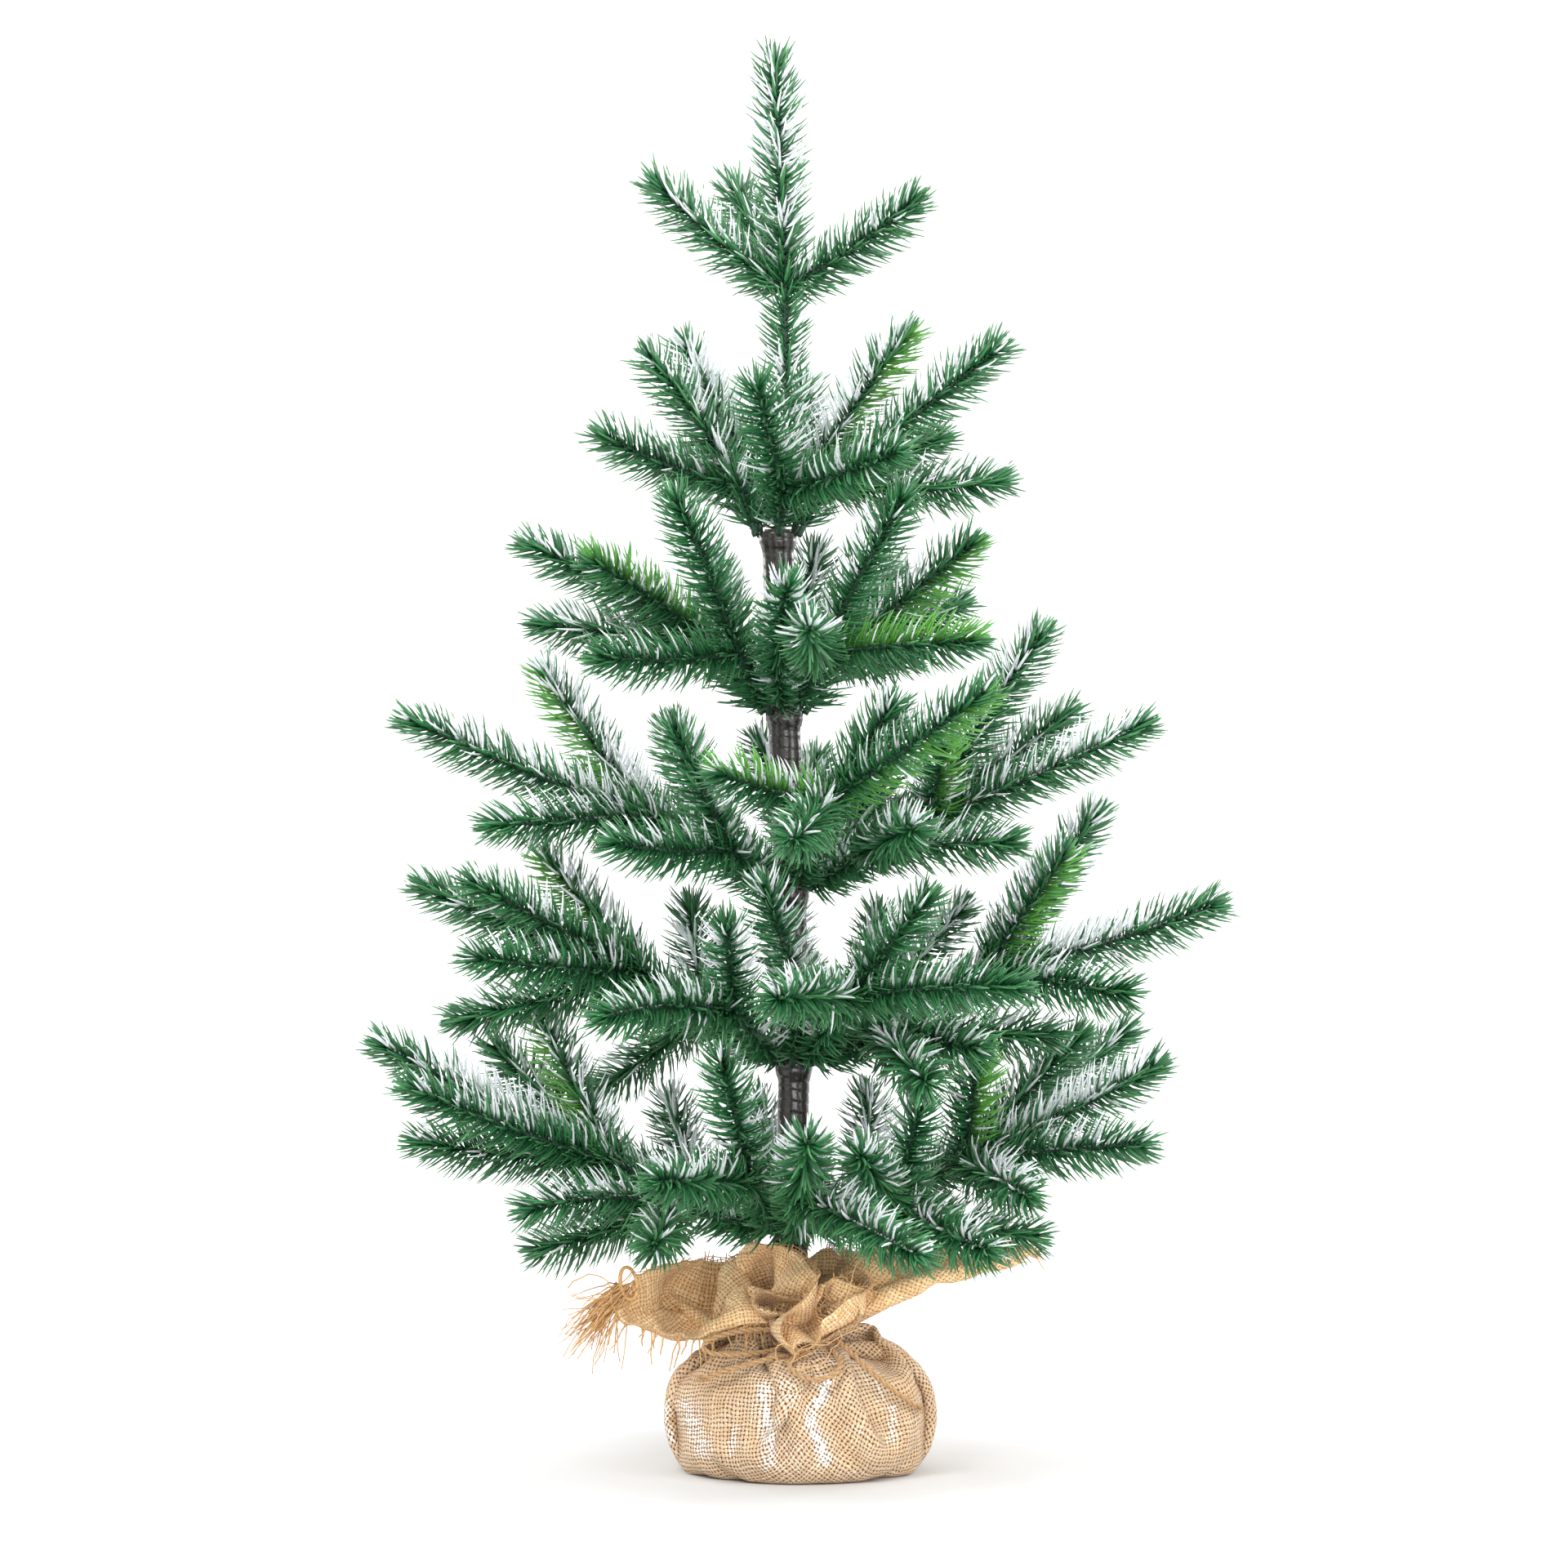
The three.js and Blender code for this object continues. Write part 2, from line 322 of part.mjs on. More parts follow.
// Branches: a wire stem from its root at the trunk to the fork, and its twigs
for (const [name, root, fork, twigs] of BRANCHES) {
  const ctrl = [0, 1, 2].map((k) => root[k] * 0.45 + fork[k] * 0.55);
  let solid = solidOf(tube(quad(root, ctrl, fork, 2), STEM_R, TWIG_SIDES)).add(solidOf(ball(root, WIRE_R)));
  for (const w of twigs) {
    const c = w.slice(0, 3), e = w.slice(3);
    const pts = quad(fork, c, e, TWIG_R.length - 1);
    const dir = V(e).sub(V(c)).normalize();
    pts.push(V(e).addScaledVector(dir, NEEDLE_REACH));
    solid = solid.add(solidOf(tube(pts, [...TWIG_R, TIP_R], TWIG_SIDES)));
  }
  add(name, fromSolid(solid), 0x2f7045, 0.7);
}

export default tree;
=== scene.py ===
import json
import math

import bpy
import numpy as np
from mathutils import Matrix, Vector

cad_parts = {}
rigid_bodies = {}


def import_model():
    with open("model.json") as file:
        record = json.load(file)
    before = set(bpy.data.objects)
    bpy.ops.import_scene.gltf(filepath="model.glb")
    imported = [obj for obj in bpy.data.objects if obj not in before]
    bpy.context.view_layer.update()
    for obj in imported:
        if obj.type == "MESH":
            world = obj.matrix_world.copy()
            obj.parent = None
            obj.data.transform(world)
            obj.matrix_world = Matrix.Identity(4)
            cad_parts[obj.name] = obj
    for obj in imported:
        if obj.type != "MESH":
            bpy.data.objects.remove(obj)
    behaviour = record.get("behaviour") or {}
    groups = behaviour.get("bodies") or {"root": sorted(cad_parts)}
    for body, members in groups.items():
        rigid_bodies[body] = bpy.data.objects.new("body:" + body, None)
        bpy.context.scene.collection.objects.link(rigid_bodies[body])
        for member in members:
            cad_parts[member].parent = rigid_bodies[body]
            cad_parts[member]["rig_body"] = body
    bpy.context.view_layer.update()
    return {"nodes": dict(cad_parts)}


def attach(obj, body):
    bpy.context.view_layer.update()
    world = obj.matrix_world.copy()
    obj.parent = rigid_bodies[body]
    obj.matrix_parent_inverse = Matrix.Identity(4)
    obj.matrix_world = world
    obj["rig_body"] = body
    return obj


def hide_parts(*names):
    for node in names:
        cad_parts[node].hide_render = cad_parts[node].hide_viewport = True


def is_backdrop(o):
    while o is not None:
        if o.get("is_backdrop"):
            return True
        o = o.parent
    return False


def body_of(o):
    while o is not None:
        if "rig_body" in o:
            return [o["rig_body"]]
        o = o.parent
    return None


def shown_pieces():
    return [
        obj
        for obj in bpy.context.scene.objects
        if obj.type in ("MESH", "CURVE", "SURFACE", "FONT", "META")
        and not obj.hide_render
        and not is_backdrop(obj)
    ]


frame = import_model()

MM = 0.001
scene = bpy.context.scene

# ---------------------------------------------------------------- camera
cam = bpy.data.objects.new("camera", bpy.data.cameras.new("camera"))
scene.collection.objects.link(cam)
cam.data.sensor_width = 36.0
cam.data.lens = 36.0 * 2.0 / (1920 / 2.94 * MM)
cam.data.clip_end = 20
cam.location = (-2.7 * MM, -2.0, 285 * MM)
cam.rotation_euler = (math.pi / 2, 0, 0)
scene.camera = cam


# ---------------------------------------------------------------- helpers
def mesh_object(name, verts, faces, smooth=True, attrs=None, mats=(), mat_index=None, uvs=None):
    """verts (n, 3) in mm; faces: list of arrays (m, k) of equal-size polygons."""
    me = bpy.data.meshes.new(name)
    verts = np.asarray(verts, dtype=np.float32) * np.float32(MM)
    me.vertices.add(len(verts))
    me.vertices.foreach_set("co", verts.ravel())
    faces = [np.asarray(f, dtype=np.int32) for f in faces if len(f)]
    total = sum(f.size for f in faces)
    me.loops.add(total)
    me.loops.foreach_set("vertex_index", np.concatenate([f.ravel() for f in faces]))
    n = sum(len(f) for f in faces)
    me.polygons.add(n)
    sizes = np.concatenate([np.full(len(f), f.shape[1], dtype=np.int32) for f in faces])
    me.polygons.foreach_set("loop_start", np.concatenate([[0], np.cumsum(sizes)[:-1]]).astype(np.int32))
    if mat_index is not None:
        me.polygons.foreach_set("material_index", np.asarray(mat_index, dtype=np.int32))
    me.polygons.foreach_set("use_smooth", np.full(n, smooth, dtype=bool))
    for m in mats:
        me.materials.append(m)
    for key, val in (attrs or {}).items():
        val = np.asarray(val, dtype=np.float32)
        if val.ndim == 1:
            a = me.attributes.new(key, "FLOAT", "POINT")
            a.data.foreach_set("value", val)
        else:
            a = me.attributes.new(key, "FLOAT_COLOR", "POINT")
            if val.shape[1] == 3:
                val = np.hstack([val, np.ones((len(val), 1), np.float32)])
            a.data.foreach_set("color", val.ravel())
    me.update(calc_edges=True)
    me.validate()
    ob = bpy.data.objects.new(name, me)
    scene.collection.objects.link(ob)
    return ob


def smoothstep(a, b, x):
    t = np.clip((x - a) / (b - a), 0, 1)
    return t * t * (3 - 2 * t)


def unit(v):
    return v / np.maximum(np.linalg.norm(v, axis=-1, keepdims=True), 1e-9)


def path_frames(p):
    """Tangent and two normals along a polyline; the first normal starts as near to up as it can."""
    t = np.gradient(p, axis=0)
    t = unit(t)
    n = np.zeros_like(p)
    up = np.array([0, 0, 1.0]) if abs(t[0, 2]) < 0.93 else np.array([0, 1.0, 0])
    v = unit(up - t[0] * (up @ t[0]))
    for i in range(len(p)):
        v = unit(v - t[i] * (v @ t[i]))
        n[i] = v
    return t, n, np.cross(t, n)


def resample(p, step=None, count=None):
    d = np.concatenate([[0], np.cumsum(np.linalg.norm(np.diff(p, axis=0), axis=1))])
    count = count or max(2, int(round(d[-1] / step)) + 1)
    s = np.linspace(0, d[-1], count)
    return np.stack([np.interp(s, d, p[:, k]) for k in range(3)], axis=1)


def catmull(pts, per=8):
    p = np.asarray(pts, dtype=float)
    q = np.vstack([2 * p[0] - p[1], p, 2 * p[-1] - p[-2]])
    out = []
    for i in range(1, len(q) - 2):
        for t in np.linspace(0, 1, per, endpoint=False):
            a, b, c, d = q[i - 1], q[i], q[i + 1], q[i + 2]
            out.append(0.5 * (2 * b + (c - a) * t + (2 * a - 5 * b + 4 * c - d) * t * t + (3 * b - a - 3 * c + d) * t**3))
    out.append(p[-1])
    return np.array(out)


def tube_mesh(p, radius, sides, phase=0.0, close=True, wobble=None):
    """Verts, quads and cap triangles of a tube along p; radius per point."""
    t, n, b = path_frames(p)
    k = len(p)
    ang = np.linspace(0, 2 * np.pi, sides, endpoint=False) + phase
    r = np.broadcast_to(np.asarray(radius, dtype=float), (k,))[:, None] * np.ones((1, sides))
    if wobble is not None:
        r = r * wobble
    v = p[:, None] + r[..., None] * (np.cos(ang)[None, :, None] * n[:, None] + np.sin(ang)[None, :, None] * b[:, None])
    i = np.arange(k - 1)[:, None] * sides
    j = np.arange(sides)[None, :]
    jn = (j + 1) % sides
    quads = np.stack([i + j, i + jn, i + sides + jn, i + sides + j], axis=-1).reshape(-1, 4)
    v = v.reshape(-1, 3)
    tris = np.zeros((0, 3), int)
    if close:
        a, z = len(v), len(v) + 1
        v = np.vstack([v, p[0], p[-1]])
        e = (k - 1) * sides
        jj = np.arange(sides)
        tris = np.vstack([
            np.stack([np.full(sides, a), (jj + 1) % sides, jj], axis=1),
            np.stack([np.full(sides, z), e + jj, e + (jj + 1) % sides], axis=1),
        ])
    return v, quads, tris


class Build:
    """Collects quads and triangles into one mesh."""

    def __init__(self):
        self.v, self.q, self.t, self.a, self.n = [], [], [], [], 0
        self.mq, self.mt = [], []

    def add(self, v, q, t, attr=None, mat=0):
        self.v.append(v)
        self.q.append(np.asarray(q).reshape(-1, 4) + self.n)
        self.t.append(np.asarray(t).reshape(-1, 3) + self.n)
        self.mq.append(np.full(len(self.q[-1]), mat))
        self.mt.append(np.full(len(self.t[-1]), mat))
        self.a.append(np.zeros((len(v), 4)) if attr is None else attr)
        self.n += len(v)

    def make(self, name, mats, key="look", smooth=True):
        idx = np.concatenate(self.mq + self.mt)
        return mesh_object(name, np.vstack(self.v), [np.vstack(self.q), np.vstack(self.t)], smooth=smooth,
                           attrs={key: np.vstack(self.a)}, mats=mats, mat_index=idx)


class Nodes:
    """Small helper to write a material's nodes in a few lines."""

    def __init__(self, name):
        self.mat = bpy.data.materials.new(name)
        self.mat.use_nodes = True
        self.t = self.mat.node_tree
        self.bsdf = self.t.nodes["Principled BSDF"]

    def node(self, kind, **props):
        n = self.t.nodes.new("ShaderNode" + kind)
        for k, v in props.items():
            setattr(n, k, v)
        return n

    def link(self, a, b):
        self.t.links.new(a, b)

    def put(self, socket, value):
        if hasattr(value, "is_output") or isinstance(value, bpy.types.NodeSocket):
            self.link(value, socket)
        else:
            socket.default_value = value

    def math(self, op, a, b=0.0, clamp=False, c=None):
        n = self.node("Math", operation=op, use_clamp=clamp)
        self.put(n.inputs[0], a)
        self.put(n.inputs[1], b)
        if c is not None:
            self.put(n.inputs[2], c)
        return n.outputs[0]

    def mix(self, fac, a, b, blend="MIX"):
        n = self.node("Mix", data_type="RGBA", blend_type=blend)
        self.put(n.inputs[0], fac)
        self.put(n.inputs[6], a if isinstance(a, bpy.types.NodeSocket) else (*a, 1.0))
        self.put(n.inputs[7], b if isinstance(b, bpy.types.NodeSocket) else (*b, 1.0))
        return n.outputs[2]

    def noise(self, scale, detail=2.0, rough=0.5, vector=None, out=0):
        n = self.node("TexNoise")
        n.inputs["Scale"].default_value = scale
        n.inputs["Detail"].default_value = detail
        n.inputs["Roughness"].default_value = rough
        if vector is None:
            vector = self.coords()
        self.link(vector, n.inputs["Vector"])
        return n.outputs[out]

    def coords(self):
        if not hasattr(self, "_c"):
            self._c = self.node("TexCoord").outputs["Object"]
        return self._c

    def ramp(self, fac, stops, interp="LINEAR"):
        n = self.node("ValToRGB")
        self.put(n.inputs[0], fac)
        cr = n.color_ramp
        cr.interpolation = interp
        while len(cr.elements) < len(stops):
            cr.elements.new(0.5)
        for e, (p, c) in zip(cr.elements, stops):
            e.position = p
            e.color = (*c, 1.0) if len(c) == 3 else c
        return n.outputs[0]

    def attr(self, name):
        n = self.node("Attribute", attribute_type="GEOMETRY", attribute_name=name)
        return n

    def bump(self, height, strength=0.5, distance=0.0003, normal=None):
        n = self.node("Bump")
        n.inputs["Strength"].default_value = strength
        n.inputs["Distance"].default_value = distance
        self.link(height, n.inputs["Height"])
        if normal is not None:
            self.link(normal, n.inputs["Normal"])
        return n.outputs[0]


def srgb(r, g, b):
    return tuple(c / 12.92 if c <= 0.04045 else ((c + 0.055) / 1.055) ** 2.4 for c in (r / 255, g / 255, b / 255))


# ---------------------------------------------------------------- jute twine
def jute_material():
    m = Nodes("jute_twine")
    look = m.attr("look")
    sep = m.node("SeparateColor")
    m.link(look.outputs["Color"], sep.inputs[0])
    fib = m.noise(2600, 3, 0.6)
    base = m.ramp(fib, [(0.25, srgb(112, 76, 40)), (0.5, srgb(184, 143, 96)), (0.78, srgb(226, 194, 150))])
    # painted shade: the plies are mixed darker where they turn in between each other
    col = m.mix(sep.outputs[0], base, srgb(92, 58, 28), "MIX")
    m.put(m.bsdf.inputs["Base Color"], col)
    m.put(m.bsdf.inputs["Roughness"], m.math("MULTIPLY_ADD", fib, 0.2, c=0.74))
    m.bsdf.inputs["Sheen Weight"].default_value = 0.25
    m.bsdf.inputs["Specular IOR Level"].default_value = 0.2
    m.put(m.bsdf.inputs["Normal"], m.bump(fib, 0.7, 0.0004))
    return m.mat


JUTE = jute_material()
TWINE_R = 1.1


def twine(name, route, lay=7.5, r=TWINE_R, plies=2, hair=0, seed=1, fray=0.0):
    """Twisted twine: plies wound round the route, with stray fibres."""
    rng = np.random.default_rng(seed)
    p = resample(catmull(route, 10), step=0.7)
    t, n, b = path_frames(p)
    s = np.concatenate([[0], np.cumsum(np.linalg.norm(np.diff(p, axis=0), axis=1))])
    L = s[-1]
    B = Build()
    H = Build()
    off = r * (0.48 if plies == 2 else 0.52)
    pr = r * (0.60 if plies == 2 else 0.54)
    for k in range(plies):
        ph = 2 * np.pi * (s / lay + k / plies)
        spread = 1 + fray * smoothstep(L - 6, L, s) * 0.25
        c = p + off * spread[:, None] * (np.cos(ph)[:, None] * n + np.sin(ph)[:, None] * b)
        rad = pr * (1 + 0.10 * np.sin(s * 1.7 + k) + 0.06 * rng.standard_normal(len(s)).cumsum() * 0.1)
        rad = np.clip(rad, pr * 0.8, pr * 1.15)
        if fray:
            rad = rad * (1 - 0.25 * smoothstep(L - 4, L, s))
        sides = 9
        wob = 1 + 0.10 * np.sin(np.arange(sides)[None] * 2.3 + s[:, None] * 2.2) + 0.05 * rng.standard_normal((len(s), sides))
        v, q, tr = tube_mesh(c, rad, sides, wobble=wob)
        at = np.zeros((len(v), 4))
        inner = np.zeros((len(s), sides))
        # painted shade in the groove between the plies, strongest nearest the twine's middle
        at[: len(s) * sides, 0] = np.clip(0.55 - 0.6 * ((v[: len(s) * sides].reshape(len(s), sides, 3) - p[:, None]) ** 2).sum(-1).ravel() ** 0.5 / r, 0, 1)
        B.add(v, q, tr, at)
    for h in range(hair):
        i = rng.integers(2, len(p) - 2)
        a = rng.uniform(0, 2 * np.pi)
        d = unit(np.cos(a) * n[i] + np.sin(a) * b[i] + rng.uniform(-0.9, 0.9) * t[i])
        q0 = p[i] + d * r * 0.8
        if q0[2] < 1:
            continue
        ln = rng.uniform(1.2, 3.6)
        q1 = q0 + d * ln * 0.5 + rng.normal(0, 0.3, 3)
        q2 = q0 + d * ln + rng.normal(0, 0.8, 3)
        v, q, tr = tube_mesh(np.array([q0, q1, q2]), [0.10, 0.08, 0.04], 3)
        H.add(v, q, tr)
    if fray:
        for h in range(int(26 * fray)):
            a = rng.uniform(0, 2 * np.pi)
            d = unit(t[-1] + rng.uniform(0.1, 0.75) * (np.cos(a) * n[-1] + np.sin(a) * b[-1]))
            q0 = p[-1] + rng.normal(0, 0.35, 3) - t[-1] * 1.2
            ln = rng.uniform(3.0, 7.5)
            pts = np.array([q0, q0 + d * ln * 0.4 + rng.normal(0, 0.25, 3), q0 + d * ln * 0.75 + rng.normal(0, 0.5, 3), q0 + d * ln + rng.normal(0, 0.9, 3) + [0, 0, -0.5]])
            v, q, tr = tube_mesh(pts, [0.20, 0.17, 0.12, 0.06], 4)
            H.add(v, q, tr)
    ob = B.make(name, [JUTE])
    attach(ob, "stand")
    fuzz = H.make(name + "_fibres", [JUTE])
    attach(fuzz, "stand")
    return ob, p, L, fuzz


TAIL_L = [(6.0, -24.0, 52.4), (0.2, -33.5, 50.6), (-8, -41, 50.6), (-17, -43.8, 48.6), (-27, -42, 45.8), (-35.5, -37.6, 42)]
TAIL_R = [(14.0, -21.6, 57.2), (19.5, -32, 56.4), (25, -42, 53.0), (31.5, -46.5, 47.0), (39.5, -44.5, 40.0), (48.5, -38.2, 32.6), (52.5, -33.8, 30)]
LOOP_L = [(3.6, -21.6, 58.6), (-5, -26.5, 60.2), (-14, -30.5, 61.2), (-24, -33.2, 60.2), (-32, -35, 58.0), (-35.8, -36.4, 55.2), (-33, -37.6, 52.6), (-24, -37.6, 51.6), (-14, -34.5, 52.0), (-5, -29.0, 53.0), (2.6, -23.6, 54.2)]
LOOP_R = [(9.6, -24.6, 53.0), (4, -35, 51.8), (-0.5, -45, 49.6), (1.5, -51.5, 46.6), (8, -54.4, 43.8), (16, -53, 44.8), (20.5, -48.5, 48.6), (18.5, -39, 52.4), (13.4, -24.4, 54.6)]

for nm, route, sd in (("twine_tail_left", TAIL_L, 3), ("twine_tail_right", TAIL_R, 4)):
    ob, p, L, fuzz = twine(nm + "_strand", route, hair=40, seed=sd, fray=0.9)
    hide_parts(nm)
for nm, route, sd in (("bow_loop_left", LOOP_L, 5), ("bow_loop_right", LOOP_R, 6)):
    ob, p, L, fuzz = twine(nm + "_strand", route, hair=70, seed=sd)
    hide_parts(nm)

# two turns round the neck, and the knot as a short overhand wrap
ring = []
for a in np.linspace(0, 2 * np.pi * 2.06, 60):
    ring.append((3 + 17.6 * math.cos(a - math.pi / 2), 17.6 * math.sin(a - math.pi / 2), 55.3 + 2.2 * (a / (4.12 * np.pi))))
ob, p, L, fuzz = twine("twine_tie_turns", ring, hair=60, seed=7)
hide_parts("twine_tie")
kn = []
for a in np.linspace(0, 2 * np.pi * 2.2, 26):
    kn.append((9 + 2.0 * math.cos(a) + 0.7 * math.sin(a * 0.5), -20.8 - 0.9 * math.sin(a * 0.9), 56.2 + 1.7 * math.sin(a)))
ob, p, L, fuzz = twine("twine_knot_wrap", kn, hair=24, seed=8, r=1.05)
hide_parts("twine_knot")
STRANDS = np.vstack([resample(catmull(r, 8), step=2.0) for r in (LOOP_L, LOOP_R, TAIL_L, TAIL_R)])

# ---------------------------------------------------------------- branches
def needle_material():
    m = Nodes("moulded_needles")
    look = m.attr("look")
    sep = m.node("SeparateColor")
    m.link(look.outputs["Color"], sep.inputs[0])
    tint, frost, bright = sep.outputs[0], sep.outputs[1], sep.outputs[2]
    along = look.outputs["Alpha"]
    grain = m.noise(900, 2, 0.5)
    green = m.ramp(tint, [(0.0, srgb(14, 68, 34)), (0.35, srgb(32, 102, 58)), (0.7, srgb(56, 132, 78)), (1.0, srgb(98, 164, 104))])
    # painted light: needles on the side lit through are mixed to a bright yellow green
    lit = m.mix(bright, green, srgb(104, 178, 62))
    # needles pale slightly to their tips
    tipped = m.mix(m.math("MULTIPLY", m.math("POWER", along, 2.5), 0.38), lit, srgb(122, 172, 120))
    mott = m.mix(m.math("MULTIPLY", grain, 0.26), tipped, srgb(12, 50, 30))
    fleck = m.noise(1500, 4, 0.7)
    cover = m.math("MULTIPLY_ADD", frost, 1.9, c=-0.62)
    cover = m.math("ADD", cover, m.math("MULTIPLY_ADD", fleck, 2.2, c=-0.95))
    cover = m.math("MULTIPLY", cover, 1.0, clamp=True)
    cover = m.math("MULTIPLY", cover, m.math("GREATER_THAN", frost, 0.02))
    col = m.mix(cover, mott, srgb(232, 238, 240))
    m.put(m.bsdf.inputs["Base Color"], col)
    m.put(m.bsdf.inputs["Roughness"], m.math("MULTIPLY_ADD", cover, 0.42, c=0.40))
    m.put(m.bsdf.inputs["Normal"], m.bump(m.math("MULTIPLY_ADD", fleck, 0.4, c=0.0), 0.35, 0.0002))
    return m.mat


def stem_material():
    m = Nodes("moulded_stem")
    look = m.attr("look")
    sep = m.node("SeparateColor")
    m.link(look.outputs["Color"], sep.inputs[0])
    g = m.noise(700, 3, 0.6)
    base = m.ramp(g, [(0.3, srgb(10, 40, 28)), (0.55, srgb(22, 66, 42)), (0.8, srgb(44, 92, 58))])
    fleck = m.noise(420, 4, 0.7)
    cover = m.math("MULTIPLY", m.math("SUBTRACT", m.math("MULTIPLY_ADD", sep.outputs[1], 1.2, c=0.0), m.math("MULTIPLY_ADD", fleck, -1.6, c=1.25)), 3.0, clamp=True)
    col = m.mix(cover, base, srgb(226, 232, 232))
    m.put(m.bsdf.inputs["Base Color"], col)
    m.put(m.bsdf.inputs["Roughness"], m.math("MULTIPLY_ADD", g, 0.3, c=0.42))
    m.put(m.bsdf.inputs["Normal"], m.bump(g, 0.8, 0.0005))
    return m.mat


NEEDLE = needle_material()
STEM = stem_material()
